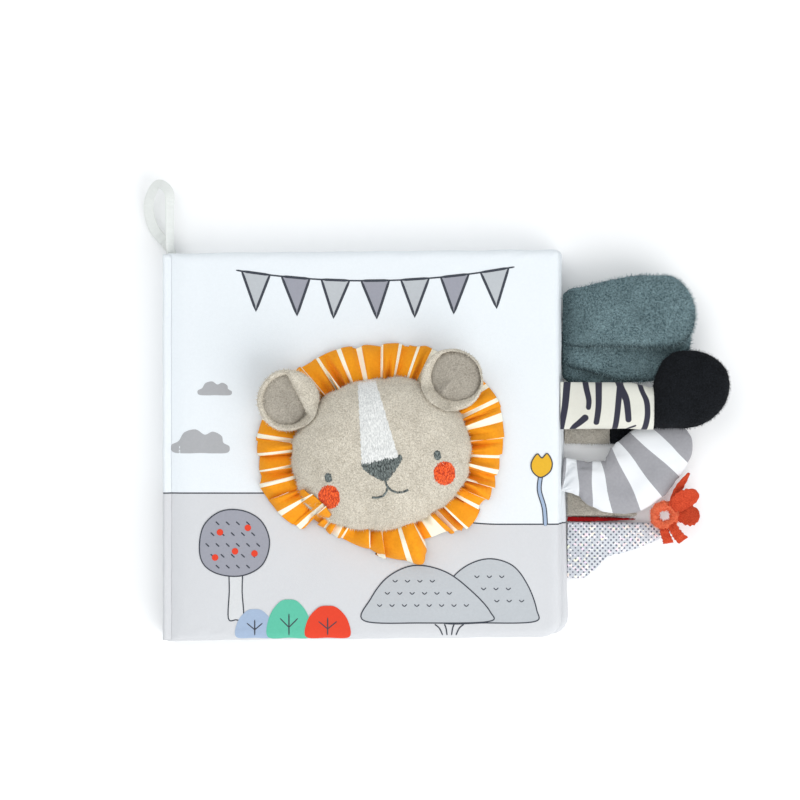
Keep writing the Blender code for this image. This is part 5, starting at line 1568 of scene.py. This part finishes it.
sleeve_low, sleeve_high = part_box("striped_sleeve")
tip_low, tip_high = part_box("black_tip")
sleeve_y = (sleeve_low.y + sleeve_high.y) / 2
sleeve_length = sleeve_high.x - sleeve_low.x
sleeve_half = (sleeve_high.y - sleeve_low.y) / 2
sleeve_start_z = hinges["striped_tail"].z - SLEEVE_START_HEIGHT / 2
sleeve_end_z = sleeve_high.z - SLEEVE_HEIGHT / 2
sleeve_rows = []
sleeve_values = []
sleeve_places = []
for r in range(SLEEVE_ROWS + 1):
    share = r / SLEEVE_ROWS
    along = sleeve_length * share
    grown = eased(2.2 * share)
    half_high = (SLEEVE_START_HEIGHT + (SLEEVE_HEIGHT - SLEEVE_START_HEIGHT) * grown) / 2
    half_wide = sleeve_half * (1 - 0.03 * math.sin(math.pi * share) + 0.02 * uneven(share * 5, 1, 2))
    middle = Vector((sleeve_low.x + along, sleeve_y,
                     sleeve_start_z + (sleeve_end_z - sleeve_start_z) * eased(share)))
    ring = oval_section(middle, Vector((0, 1, 0)), half_wide, half_high, square=0.9)
    row = []
    around = []
    length = [0.0]
    for a, b in zip(ring, ring[1:] + ring[:1]):
        length.append(length[-1] + (b - a).length)
    quarter = length[TAIL_SEGMENTS // 4]
    for k, point in enumerate(ring):
        up = point.z - middle.z
        fold = SLEEVE_FOLD * uneven(point.x / 0.006, point.y / 0.016, 7.0) * math.exp(-share / 0.25)
        tuck = SLEEVE_TUCK * uneven(point.y / 0.004, point.x / 0.012, 9.0) * math.exp(-(1 - share) / 0.10)
        gathered = SLEEVE_GATHER * eased((share - 0.72) / 0.28) * eased((point.y - middle.y) / half_wide)
        row.append(point + Vector((0, -gathered, fold + tuck + SLEEVE_LUMP * noise.noise(point / 0.011))))
        across = quarter - length[k] if up >= 0 else length[k] - 3 * quarter
        spot = Vector((along, across)) if up >= 0 else Vector((along + UNDERSIDE_SHIFT, -across))
        sleeve_values.append(off_the_bars(spot))
        around.append((along, length[k]))
    sleeve_rows.append(row)
    sleeve_places.append([*around, (along, length[-1])])

bar_cotton, bar_tree, bar_shader = cloth_material("bar_print", 0.85, 0.2)
bar_place = node(bar_tree, "ShaderNodeTexCoord")
bar_weave = group_node(bar_tree, weave, {"Place": bar_place.outputs["Object"], "Pitch": TAIL_PITCH})
off_bar = node(bar_tree, "ShaderNodeAttribute", attribute_name="off_the_bars").outputs["Fac"]
bar_edge = node(bar_tree, "ShaderNodeMapRange",
                {"Value": off_bar, "From Min": -BAR_SOFT, "From Max": BAR_SOFT}).outputs[0]
cream = mixed(bar_tree, bar_weave["Shade"], tuple(0.93 * part for part in SLEEVE_CREAM), SLEEVE_CREAM)
bar_tree.links.new(mixed(bar_tree, bar_edge, SLEEVE_DARK, cream), bar_shader.inputs["Base Color"])
bumped(bar_tree, bar_shader, bar_weave["Height"], TAIL_WEAVE_DEPTH)
sleeve = cloth_piece("striped_sleeve_cloth", sleeve_rows, [bar_cotton], ends="open", places=sleeve_places)
marked(sleeve, "off_the_bars", sleeve_values)
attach(sleeve, "striped_tail")
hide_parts("striped_sleeve", "striped_tail_filling")

BLACK_PLUSH = (0.014, 0.016, 0.020)
BLACK_DARK = (0.003, 0.0035, 0.004)
tip_guides = list(zip(TIP_ALONG_SHARES, TIP_LEAN_SHARES, TIP_WIDTH_SHARES, TIP_HEIGHT_SHARES))
tip_profile = spline([Vector(guide) for guide in tip_guides], 4)
tip_length = tip_high.x - tip_low.x
tip_rows = []
for along, lean, wide, high in tip_profile:
    lift = TIP_LIFT * math.sin(min(along, 1) * math.pi / 2)
    middle = Vector((tip_low.x + tip_length * along, sleeve_y + TIP_LEAN * lean, sleeve_end_z + lift))
    row = oval_section(middle, Vector((0, 1, 0)), TIP_WIDTH / 2 * wide, TIP_HEIGHT / 2 * high, TIP_SEGMENTS)
    tip_rows.append([point + Vector((0, 0, TIP_LUMP * noise.noise(point / 0.012))) for point in row])
black_plush = plush_material("black_plush_cloth", BLACK_DARK, BLACK_PLUSH, sheen=0.08)
tip = cloth_piece("black_tip_plush", tip_rows, [black_plush], ends="closed")
puffed(tip, most=TIP_PUFF, pinned=range(2 * TIP_SEGMENTS))
smoothed(tip)
roughened(tip, PLUSH_ROUGH, ROUGH_LENGTH, seed=3.0)
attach(tip, "striped_tail")
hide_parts("black_tip")
# painted highlight: the black fibres are a little lighter than the black plush they stand on
black_fibres = fibre_materials("black", BLACK_DARK, (0.026, 0.030, 0.036), sheen=0.12)
pile_strands(tip, 5500, TAIL_FIBRE_LENGTH, FINE_FIBRE_WIDTH, black_fibres, "striped_tail",
             comb=(0.25, -0.2, 0), seed=9)


# Teal flaps. Three layers of long-piled teal plush, each two pieces sewn and turned with a little
# filling, caught one over the other in the middle leaf's outer edge.
TEAL_LIGHT = (0.255, 0.365, 0.388)
TEAL_DARK = (0.045, 0.080, 0.092)
FLAP_SEAM_HALF = 1.0 * MM
FLAP_SETTLE = 16.0 * MM
FLAP_SIDE_SHARES = (
    (0.05, 1.0), (0.16, 1.0), (0.30, 0.995), (0.44, 0.98), (0.57, 0.95), (0.69, 0.89), (0.79, 0.80),
    (0.87, 0.68), (0.93, 0.53), (0.97, 0.37), (0.992, 0.2),
)
FLAP_SHARES = {
    "top_teal_flap": (
        (0.0, 0.24), (0.20, 0.37), (0.52, 0.49), (0.80, 0.50), (0.95, 0.28), (1.0, -0.06),
        (0.94, -0.36), (0.78, -0.49), (0.42, -0.47), (0.0, -0.40),
    ),
    "middle_teal_flap": (
        (0.0, 0.40), (0.50, 0.50), (0.90, 0.46), (1.0, 0.12), (0.92, -0.24), (0.70, -0.48),
        (0.46, -0.50), (0.22, -0.36), (0.0, -0.18),
    ),
    "lower_teal_flap": (
        (0.0, 0.44), (0.50, 0.50), (0.90, 0.36), (1.0, 0.0), (0.90, -0.38), (0.60, -0.50),
        (0.28, -0.47), (0.0, -0.32),
    ),
}
# each flap's middle line, its fullest height, its level, how far it is sewn above the leaf's middle, how
# many fibres it has, and how lumpy it is
FLAPS = (
    ("lower_teal_flap", 40.5 * MM, 5.0 * MM, 3.6 * MM, -1.4 * MM, 3200, 1.0 * MM),
    ("middle_teal_flap", 44.0 * MM, 7.0 * MM, 9.4 * MM, 0.0, 6400, 1.8 * MM),
    ("top_teal_flap", 60.4 * MM, 10.5 * MM, 17.6 * MM, 1.4 * MM, 11000, 3.4 * MM),
)

# painted shade colour for the flaps' lower edges and seams
TEAL_SHADED = (0.006, 0.013, 0.016)
FLAP_EDGE_REACH = 3.2 * MM
FLAP_SEAM_REACH = 8.0 * MM
SHADE_AT_EDGE = 0.85
SHADE_AT_SEAM = 0.6
TEAL_FIBRE = (0.300, 0.415, 0.440)
TEAL_FIBRE_LENGTH = 1.7 * MM
TEAL_ROUGH = 0.35 * MM
TEAL_ROUGH_LENGTH = 1.3 * MM
TEAL_PATCH = 8 * MM
TEAL_TUFT = 0.85 * MM
TEAL_BUMP = 0.6 * MM
FLAP_PUCKER = 0.5 * MM
OUTLINE_STEPS = 10

teal_plush = plush_material("teal_plush_cloth", TEAL_DARK, TEAL_LIGHT, TEAL_TUFT, TEAL_PATCH, TEAL_BUMP)
# painted shade: each flap darkens along its lower edge and next to its seam, where shade falls
teal_tree = teal_plush.node_tree
teal_shader = teal_tree.nodes["Principled BSDF"]
teal_colour = teal_shader.inputs["Base Color"].links[0].from_socket
painted_edge_shade = node(teal_tree, "ShaderNodeAttribute", attribute_name="painted_edge_shade").outputs["Fac"]
teal_tree.links.new(mixed(teal_tree, painted_edge_shade, teal_colour, TEAL_SHADED), teal_shader.inputs["Base Color"])
teal_fibres = fibre_materials("teal", TEAL_DARK, TEAL_FIBRE)


def flap_outline(shares, corner, length, width, steps):
    """A smooth outline from shares of a length and a width."""
    points = [Vector((corner.x + length * a, corner.y + width * b)) for a, b in shares]
    loop = spline(points, steps, closed=True)
    low = min(point.y for point in points)
    high = max(point.y for point in points)
    return [Vector((max(point.x, corner.x), min(max(point.y, low), high))) for point in loop]


def flap_piece(name, outline, seam, level, height, material, lump, seed, settle=FLAP_SETTLE):
    """A soft flat piece inside an outline: thin where it is sewn in, and swelling away from there."""
    middle = sum(outline, Vector((0, 0))) / len(outline)
    sides = list(FLAP_SIDE_SHARES)
    rows = []
    for up, shares in ((1, sides), (0, [(1.0, 0.0)]), (-1, list(reversed(sides)))):
        for out, share in shares:
            row = []
            for point in outline:
                place = middle.lerp(point, out)
                settled_share = eased((place.x - seam.x) / settle)
                half = FLAP_SEAM_HALF + (height / 2 - FLAP_SEAM_HALF) * settled_share
                dent = lump * uneven(place.x / 0.014, place.y / 0.014, seed) * share * settled_share
                pucker = FLAP_PUCKER * uneven(place.y / 0.004, place.x / 0.02, seed) * (1 - settled_share)
                z = (seam.y + (level - seam.y) * settled_share + up * (half * share + pucker * share)
                     + dent * (up > 0))
                row.append(Vector((place.x, place.y, z)))
            rows.append(row)
    return cloth_piece(name, rows, [material], ends="closed")


leaf_level = hinges["middle_leaf"].z
for name, line_y, height, level, sewn, fibre_count, lump in FLAPS:
    flap_low, flap_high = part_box(name)
    shares = FLAP_SHARES[name]
    tall = max(b for a, b in shares) - min(b for a, b in shares)
    outline = flap_outline(shares, Vector((flap_low.x, line_y)), flap_high.x - flap_low.x,
                           (flap_high.y - flap_low.y) / tall, OUTLINE_STEPS)
    flap = flap_piece(f"{name}_plush", outline, Vector((flap_low.x, leaf_level + sewn)), level, height,
                      teal_plush, lump, line_y / MM)
    smoothed(flap)
    roughened(flap, TEAL_ROUGH, TEAL_ROUGH_LENGTH, seed=6.0)
    lower_edge = [point for point in outline if point.y < line_y]
    edge_tree = KDTree(len(lower_edge))
    for k, point in enumerate(lower_edge):
        edge_tree.insert((point.x, point.y, 0), k)
    edge_tree.balance()
    # how much painted shade each point gets: most at the lower edge, less next to the seam
    marked(flap, "painted_edge_shade", [
        max(SHADE_AT_EDGE * (1 - eased(edge_tree.find((vertex.co.x, vertex.co.y, 0))[2] / FLAP_EDGE_REACH)),
            SHADE_AT_SEAM * (1 - eased((vertex.co.x - flap_low.x) / FLAP_SEAM_REACH)))
        for vertex in flap.data.vertices
    ])
    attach(flap, "middle_leaf")
    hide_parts(name)
    pile_strands(flap, fibre_count, TEAL_FIBRE_LENGTH, FIBRE_WIDTH, teal_fibres, "middle_leaf",
                 comb=(0.5, -0.15, 0), seed=int(height / MM) + fibre_count)


# Curved tail. A broad stuffed tail of smooth cotton, printed in grey and white bands that widen as it
# sweeps up.
CURVED_REACH_SHARES = (0.0, 0.10, 0.20, 0.38, 0.58, 0.80, 0.93, 0.985, 1.0)
CURVED_UP_SHARES = (0.17, 0.13, 0.08, 0.0, 0.12, 0.50, 0.76, 0.94, 1.0)
CURVED_WIDTH_SHARES = (0.47, 0.50, 0.56, 0.80, 1.0, 0.95, 0.74, 0.42, 0.06)
CURVED_HEIGHT_SHARES = (0.41, 0.60, 0.80, 0.96, 1.0, 1.0, 0.90, 0.60, 0.08)
CURVED_Y = -13.1 * MM
CURVED_CLIMB = 28.0 * MM
CURVED_REACH = 53.2 * MM
CURVED_WIDTH = 33.0 * MM
CURVED_HEIGHT = 7.8 * MM
CURVED_LEVEL = 11.0 * MM
CURVED_PUCKER = 0.9 * MM
CURVED_LUMP = 1.5 * MM
CURVED_PUFF = 0.7 * MM
BAND_BEND = 0.35 * MM
BAND_BEND_LENGTH = 3.6 * MM
CURVED_GREY = (0.375, 0.372, 0.395)
CURVED_WHITE = (0.800, 0.815, 0.835)
# where one band ends and the next begins, at the tail's upper and lower edges, in mm in the book's own
# frame
BAND_EDGES = (
    ((84.0, -6.0), (84.0, -20.8)), ((93.2, -6.0), (91.2, -20.8)), ((98.0, -6.0), (98.4, -22.1)),
    ((104.6, -5.0), (104.6, -26.2)), ((107.7, -3.9), (113.7, -30.1)), ((113.5, -0.8), (127.8, -30.9)),
    ((117.9, 0.2), (136.6, -23.7)), ((122.3, 5.7), (145.4, -15.3)), ((130.4, 8.8), (148.5, -7.6)),
    ((146.0, 16.0), (160.0, 4.0)),
)


def band_at(x, y):
    """Which band a place lies in, as a number that grows evenly from each band's start to its end."""
    last = 0.0
    for k, (upper, lower) in enumerate(BAND_EDGES):
        top, foot = Vector(upper) * MM, Vector(lower) * MM
        along = (foot - top).normalized()
        bend = BAND_BEND * math.sin(y / BAND_BEND_LENGTH + 2.0 * k)
        off = (x - top.x) * -along.y + (y - top.y) * along.x + bend
        if off < 0:
            return k - 1 + last / (last - off) if k else 0.0
        last = off
    return len(BAND_EDGES) - 1.0


curved_start = Vector((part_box("curved_tail")[0].x, CURVED_Y))
curved_guides = zip(CURVED_REACH_SHARES, CURVED_UP_SHARES, CURVED_WIDTH_SHARES, CURVED_HEIGHT_SHARES)
curved_profile = spline([Vector(guide) for guide in curved_guides], 9)
curved_line = [
    Vector((curved_start.x + CURVED_REACH * along, CURVED_Y + CURVED_CLIMB * (up - CURVED_UP_SHARES[0]),
            leaf_level + (CURVED_LEVEL - leaf_level) * eased(4 * along)))
    for along, up, wide, high in curved_profile
]
curved_rows = []
for k, (along, up, wide, high) in enumerate(curved_profile):
    heading = curved_line[min(k + 1, len(curved_line) - 1)] - curved_line[max(k - 1, 0)]
    heading = Vector((heading.x, 0 if k == 0 else heading.y, 0)).normalized()
    across = Vector((-heading.y, heading.x, 0))
    ring = oval_section(curved_line[k], across, CURVED_WIDTH / 2 * wide, CURVED_HEIGHT / 2 * high)
    row = []
    for m, point in enumerate(ring):
        side = math.cos(math.tau * m / TAIL_SEGMENTS)
        edge = abs(side) ** 3
        pucker = CURVED_PUCKER * edge * uneven(along * 20, side, 3.0)
        lump = CURVED_LUMP * noise.noise(Vector((point.x, point.y, 0)) / 0.012) * (1 - edge) * min(3 * along, 1)
        row.append(point + Vector((0, 0, lump)) + across * pucker)
    curved_rows.append(row)

band_cotton, band_tree, band_shader = cloth_material("band_print", 0.85, 0.2)
band_place = node(band_tree, "ShaderNodeTexCoord")
band_weave = group_node(band_tree, weave, {"Place": band_place.outputs["Object"], "Pitch": TAIL_PITCH})
band_number = node(band_tree, "ShaderNodeAttribute", attribute_name="band").outputs["Fac"]
band_half = maths(band_tree, "MODULO", band_number, 2.0)
in_grey = maths(band_tree, "LESS_THAN", band_half, 1.0)
grey = mixed(band_tree, band_weave["Shade"], tuple(0.8 * part for part in CURVED_GREY), CURVED_GREY)
band_tree.links.new(mixed(band_tree, in_grey, CURVED_WHITE, grey), band_shader.inputs["Base Color"])
bumped(band_tree, band_shader, band_weave["Height"], TAIL_WEAVE_DEPTH)
curved = cloth_piece("curved_tail_cloth", curved_rows, [band_cotton], ends="closed")
puffed(curved, most=CURVED_PUFF, pinned=range(2 * TAIL_SEGMENTS))
smoothed(curved)
marked(curved, "band", [band_at(vertex.co.x, vertex.co.y) for vertex in curved.data.vertices])
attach(curved, "middle_leaf")
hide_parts("curved_tail", "curved_tail_filling")


# Tassel. An orange chenille ring sewn to the curved tail's edge, with felt petals and two felt ends.
RING_MIDDLE = Vector((137.7, -31.8, 11.0)) * MM
RING_RADIUS = 4.5 * MM
RING_WIRE = 1.9 * MM
FELT_ORANGE = (0.700, 0.092, 0.036)
FELT_ORANGE_DARK = (0.380, 0.030, 0.010)
CHENILLE_ORANGE = (1.0, 0.270, 0.130)
CHENILLE_DARK = (0.700, 0.100, 0.040)
PETAL_THICKNESS = 1.1 * MM
PETAL_STEPS = 22
PETAL_SIDES = 28
PETAL_CURL = 1.6 * MM
PETAL_WAVE = 1.2 * MM
PETAL_SWERVE = 0.8 * MM
PETAL_GAP = 0.2 * MM
PETAL_ROUGH = 0.22 * MM
PETAL_ROUGH_LENGTH = 0.9 * MM
FELT_TUFT = 0.5 * MM
FELT_PATCH = 3 * MM
FELT_BUMP = 0.25 * MM
RING_STEPS = 90
RING_SIDES = 24
RING_ROUGH = 0.9 * MM
RING_ROUGH_LENGTH = 0.8 * MM
RING_FIBRE_LENGTH = 1.0 * MM
# each petal's turn, reach, width, lift at its root, whether its end is rounded or cut, and how it twists
PETALS = (
    (math.radians(60), 17.6 * MM, 3.7 * MM, 1.5 * MM, "pointed", 0.3),
    (math.radians(38), 13.6 * MM, 10.6 * MM, 1.8 * MM, "round", 0.55),
    (math.radians(4), 11.4 * MM, 11.0 * MM, -0.8 * MM, "round", -0.5),
    (math.radians(-52), 9.5 * MM, 5.6 * MM, 1.0 * MM, "cut", 0.5),
    (math.radians(-84), 8.1 * MM, 5.6 * MM, -0.5 * MM, "cut", -0.5),
)

felt_orange = plush_material("orange_felt_cloth", FELT_ORANGE_DARK, FELT_ORANGE, FELT_TUFT, FELT_PATCH,
                             FELT_BUMP, sheen=0.2)
chenille_cloth = plush_material("chenille_cloth", CHENILLE_DARK, CHENILLE_ORANGE, FELT_TUFT, FELT_PATCH)
ring_rows = []
for k in range(RING_STEPS):
    angle = math.tau * k / RING_STEPS
    out = Vector((math.cos(angle), math.sin(angle), 0))
    wobble = 1 + 0.10 * uneven(3 * math.cos(angle), 3 * math.sin(angle), 2.0)
    ring_rows.append([
        RING_MIDDLE + out * (RING_RADIUS * wobble + RING_WIRE * math.cos(math.tau * m / RING_SIDES))
        + Vector((0, 0, RING_WIRE * math.sin(math.tau * m / RING_SIDES)))
        for m in range(RING_SIDES)
    ])
ring_rows.append([point.copy() for point in ring_rows[0]])
chenille = cloth_piece("tassel_chenille_ring", ring_rows, [chenille_cloth], ends="open")
roughened(chenille, RING_ROUGH, RING_ROUGH_LENGTH, seed=2.0)
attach(chenille, "middle_leaf")
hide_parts("tassel_ring")
orange_fibres = fibre_materials("orange", CHENILLE_DARK, CHENILLE_ORANGE)
pile_strands(chenille, 1500, RING_FIBRE_LENGTH, FINE_FIBRE_WIDTH, orange_fibres, "middle_leaf", seed=12)

for number, (turn, reach, width, lift, end_kind, twist) in enumerate(PETALS):
    out = Vector((math.cos(turn), math.sin(turn), 0))
    across = Vector((-out.y, out.x, 0))
    root = RING_MIDDLE + out * (RING_RADIUS + PETAL_GAP) + Vector((0, 0, lift))
    rows = []
    for step in range(PETAL_STEPS + 1):
        share = step / PETAL_STEPS
        if end_kind == "round":
            wide = max(math.sin(math.pi * min(0.06 + 0.92 * share, 1) ** 1.15), 0.02) ** 0.5
        elif end_kind == "pointed":
            wide = 0.25 + 0.75 * math.sin(math.pi * min(share * 0.9 + 0.1, 1)) ** 0.8
        else:
            wide = 0.72 + 0.28 * share
        wide *= 1 + 0.07 * math.sin(34 * share + number)
        roll = PETAL_CURL * math.sin(math.pi * share) + PETAL_WAVE * uneven(share * 3, number, 0)
        swerve = PETAL_SWERVE * math.sin(3 * share + number)
        middle = root + out * reach * share + Vector((0, 0, roll)) + across * swerve
        tilt = twist * math.sin(2.2 * share)
        flat = across * math.cos(tilt) + Vector((0, 0, 1)) * math.sin(tilt)
        thick = flat.cross(out).normalized()
        rows.append([
            middle + flat * (width / 2 * wide) * math.copysign(abs(math.cos(a)) ** 0.6, math.cos(a))
            + thick * (PETAL_THICKNESS / 2) * math.copysign(abs(math.sin(a)) ** 0.6, math.sin(a))
            for a in (math.tau * m / PETAL_SIDES for m in range(PETAL_SIDES))
        ])
    petal = cloth_piece(f"felt_petal_{number + 1}", rows, [felt_orange], ends="closed")
    roughened(petal, PETAL_ROUGH, PETAL_ROUGH_LENGTH, seed=number)
    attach(petal, "middle_leaf")
    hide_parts(f"tassel_petal_{number + 1}")


# Beige tail. A short flat tail of beige plush with a black end, lying under the curved tail, sewn in the
# back cover.
BEIGE_HEIGHT = 5.8 * MM
BEIGE_LEVEL = 3.6 * MM
BEIGE_START = 3.0 * MM
BEIGE_LUMP = 0.5 * MM
BEIGE_ROWS = 30
BEIGE_ROUGH_LENGTH = 1.2 * MM
BEIGE_LIGHT = (0.580, 0.540, 0.470)
BEIGE_DARK = (0.330, 0.300, 0.255)
BEIGE_END_SHARES = (
    (0.0, 1.0, 1.0), (0.3, 0.98, 1.0), (0.6, 0.84, 0.94), (0.84, 0.56, 0.74), (0.96, 0.28, 0.50),
    (1.0, 0.06, 0.1),
)

back_level = (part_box("back_cover_inner")[1].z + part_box("back_cover_outer")[0].z) / 2
beige_low, beige_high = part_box("beige_sleeve")
beige_y = (beige_low.y + beige_high.y) / 2
beige_half = (beige_high.y - beige_low.y) / 2
beige_plush = plush_material("beige_tail_cloth", BEIGE_DARK, BEIGE_LIGHT)
beige_rows = []
for r in range(BEIGE_ROWS + 1):
    share = r / BEIGE_ROWS
    high = (BEIGE_START + (BEIGE_HEIGHT - BEIGE_START) * eased(1.6 * share)) / 2
    middle = Vector((beige_low.x + (beige_high.x - beige_low.x) * share, beige_y,
                     back_level + (BEIGE_LEVEL - back_level) * eased(share)))
    ring = oval_section(middle, Vector((0, 1, 0)), beige_half, high, TIP_SEGMENTS)
    beige_rows.append([point + Vector((0, 0, BEIGE_LUMP * noise.noise(point / 0.008))) for point in ring])
beige = cloth_piece("beige_tail_plush", beige_rows, [beige_plush], ends="open")
end_low, end_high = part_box("beige_tail_tip")
end_rows = []
for along, wide, high in spline([Vector(share) for share in BEIGE_END_SHARES], 5):
    middle = Vector((end_low.x + (end_high.x - end_low.x) * along, beige_y, BEIGE_LEVEL))
    end_rows.append(oval_section(middle, Vector((0, 1, 0)), beige_half * wide, BEIGE_HEIGHT / 2 * high,
                                 TIP_SEGMENTS))
beige_end = cloth_piece("beige_tail_end_plush", end_rows, [black_plush], ends="closed")
beige_fibres = fibre_materials("beige", BEIGE_DARK, BEIGE_LIGHT)
for piece, nodes, slot, fibres_here, count in (
    (beige, ["beige_sleeve", "beige_tail_filling"], "beige_plush", beige_fibres, 1800),
    (beige_end, ["beige_tail_tip"], "black_plush", black_fibres, 900),
):
    smoothed(piece)
    roughened(piece, PLUSH_ROUGH, BEIGE_ROUGH_LENGTH, seed=8.0)
    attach(piece, "back_cover")
    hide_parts(*nodes)
    pile_strands(piece, count, TAIL_FIBRE_LENGTH, FINE_FIBRE_WIDTH, fibres_here, "back_cover", seed=count)


# Fish tail. Beige plush above, a red felt edge along its seam, and below it a thin panel of silvery cloth
# with a grid of shiny dots, all sewn in the back cover.
FIN_LEVEL = 3.2 * MM
FIN_HEIGHT = 4.6 * MM
FIN_EDGE_HEIGHT = 3.4 * MM
FIN_LUMP = 0.5 * MM
SILVER_ROUGH = 0.5 * MM
SILVER_ROUGH_LENGTH = 7 * MM
SILVER_BUMP = 0.10 * MM
FIN_SHARES = (
    (0.0, 0.0), (0.36, 0.0), (0.72, 0.0), (0.97, -0.13), (1.0, -0.20), (0.86, -0.34),
    (0.60, -0.52), (0.32, -0.66), (0.25, -0.76), (0.20, -0.97), (0.0, -1.0),
)
FIN_PLUSH_SHARES = (
    (0.0, 0.0), (0.50, 0.0), (0.94, 0.0), (1.0, 0.10), (0.80, 0.40), (0.45, 0.72), (0.0, 1.0),
)
FIN_EDGE_SHARES = ((0.0, -0.5), (0.5, -0.42), (1.0, 0.0), (0.5, 0.42), (0.0, 0.5))
RED_FELT = (0.330, 0.004, 0.005)
RED_FELT_DARK = (0.140, 0.003, 0.004)
SILVER = (0.760, 0.775, 0.800)
SILVER_SHADE = (0.520, 0.545, 0.600)
DOT_INK = (0.130, 0.145, 0.190)
DOT_PITCH = 1.75 * MM
DOT_SHARE = 0.25
FLECK_SHARE = 0.45
FLECK_SCALE = 900.0
SPARKLE_FROM = 0.80

silver, silver_tree, silver_shader = cloth_material("glitter_print", 0.38, 0.1)
silver_place = node(silver_tree, "ShaderNodeTexCoord").outputs["Object"]
turned = node(silver_tree, "ShaderNodeMapping", {"Vector": silver_place, "Rotation": (0, 0, math.radians(45)),
                                                 "Scale": (1 / DOT_PITCH, 1 / DOT_PITCH, 1)}).outputs[0]
cell = node(silver_tree, "ShaderNodeVectorMath", {0: turned}, operation="FRACTION").outputs[0]
centred = node(silver_tree, "ShaderNodeVectorMath", {0: cell, 1: (0.5, 0.5, 0.0)},
               operation="SUBTRACT").outputs[0]
flat_cell = node(silver_tree, "ShaderNodeVectorMath", {0: centred, 1: (1, 1, 0)},
                 operation="MULTIPLY").outputs[0]
away = node(silver_tree, "ShaderNodeVectorMath", {0: flat_cell}, operation="LENGTH").outputs["Value"]
# a broad mottle that moves the silver between a darker and a lighter tone and varies the dots' size
silver_mottle = node(silver_tree, "ShaderNodeTexNoise",
            {"Vector": silver_place, "Scale": 150.0, "Detail": 2.0}).outputs[0]
dot_size = maths(silver_tree, "MULTIPLY", maths(silver_tree, "ADD", silver_mottle, 0.5), DOT_SHARE)
dots = maths(silver_tree, "LESS_THAN", away, dot_size)
flecks = node(silver_tree, "ShaderNodeTexVoronoi", {"Vector": silver_place, "Scale": FLECK_SCALE})
fleck_hue = node(silver_tree, "ShaderNodeHueSaturation",
                 {"Saturation": 0.55, "Value": 1.0, "Color": flecks.outputs["Color"]})
bright = node(silver_tree, "ShaderNodeSeparateColor", {0: flecks.outputs["Color"]}).outputs[0]
# painted glints: flecks brighter than SPARKLE_FROM go into the colour in a pale tint
painted_glints = maths(silver_tree, "GREATER_THAN", bright, SPARKLE_FROM)
ground = mixed(silver_tree, silver_mottle, SILVER_SHADE, SILVER)
fleck_colour = mixed(silver_tree, FLECK_SHARE, WHITE, fleck_hue.outputs[0])
sparkled = mixed(silver_tree, painted_glints, ground, fleck_colour)
silver_tree.links.new(mixed(silver_tree, dots, sparkled, DOT_INK), silver_shader.inputs["Base Color"])
bumped(silver_tree, silver_shader, bright, SILVER_BUMP)

red_felt = plush_material("red_felt_cloth", RED_FELT_DARK, RED_FELT, FELT_TUFT, FELT_PATCH,
                          FELT_BUMP, sheen=0.1)
for node_name, shares, material, height, corner_side, slot, count, fill_share in (
    ("glitter_fin", FIN_SHARES, silver, FIN_HEIGHT, "high", "glitter_cloth", 0, 0.2),
    ("red_fin_edge", FIN_EDGE_SHARES, red_felt, FIN_EDGE_HEIGHT, "middle", "red_felt", 0, 0.2),
    ("beige_fin_plush", FIN_PLUSH_SHARES, beige_plush, FIN_HEIGHT, "low", "beige_plush", 2200, 0.3),
):
    low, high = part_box(node_name)
    corner_y = {"high": high.y, "middle": (low.y + high.y) / 2, "low": low.y}[corner_side]
    tall = max(b for a, b in shares) - min(b for a, b in shares)
    outline = flap_outline(shares, Vector((low.x, corner_y)), high.x - low.x, (high.y - low.y) / tall,
                           OUTLINE_STEPS)
    fin = flap_piece(f"{node_name}_cloth", outline, Vector((low.x, back_level)), FIN_LEVEL, height, material,
                     FIN_LUMP, height / MM)
    smoothed(fin)
    if slot == "glitter_cloth":
        roughened(fin, SILVER_ROUGH, SILVER_ROUGH_LENGTH, seed=4.0)
    else:
        roughened(fin, PLUSH_ROUGH, BEIGE_ROUGH_LENGTH, seed=4.0)
    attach(fin, "back_cover")
    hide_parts(node_name)
    if count:
        pile_strands(fin, count, TAIL_FIBRE_LENGTH, FINE_FIBRE_WIDTH, beige_fibres, "back_cover", seed=count)
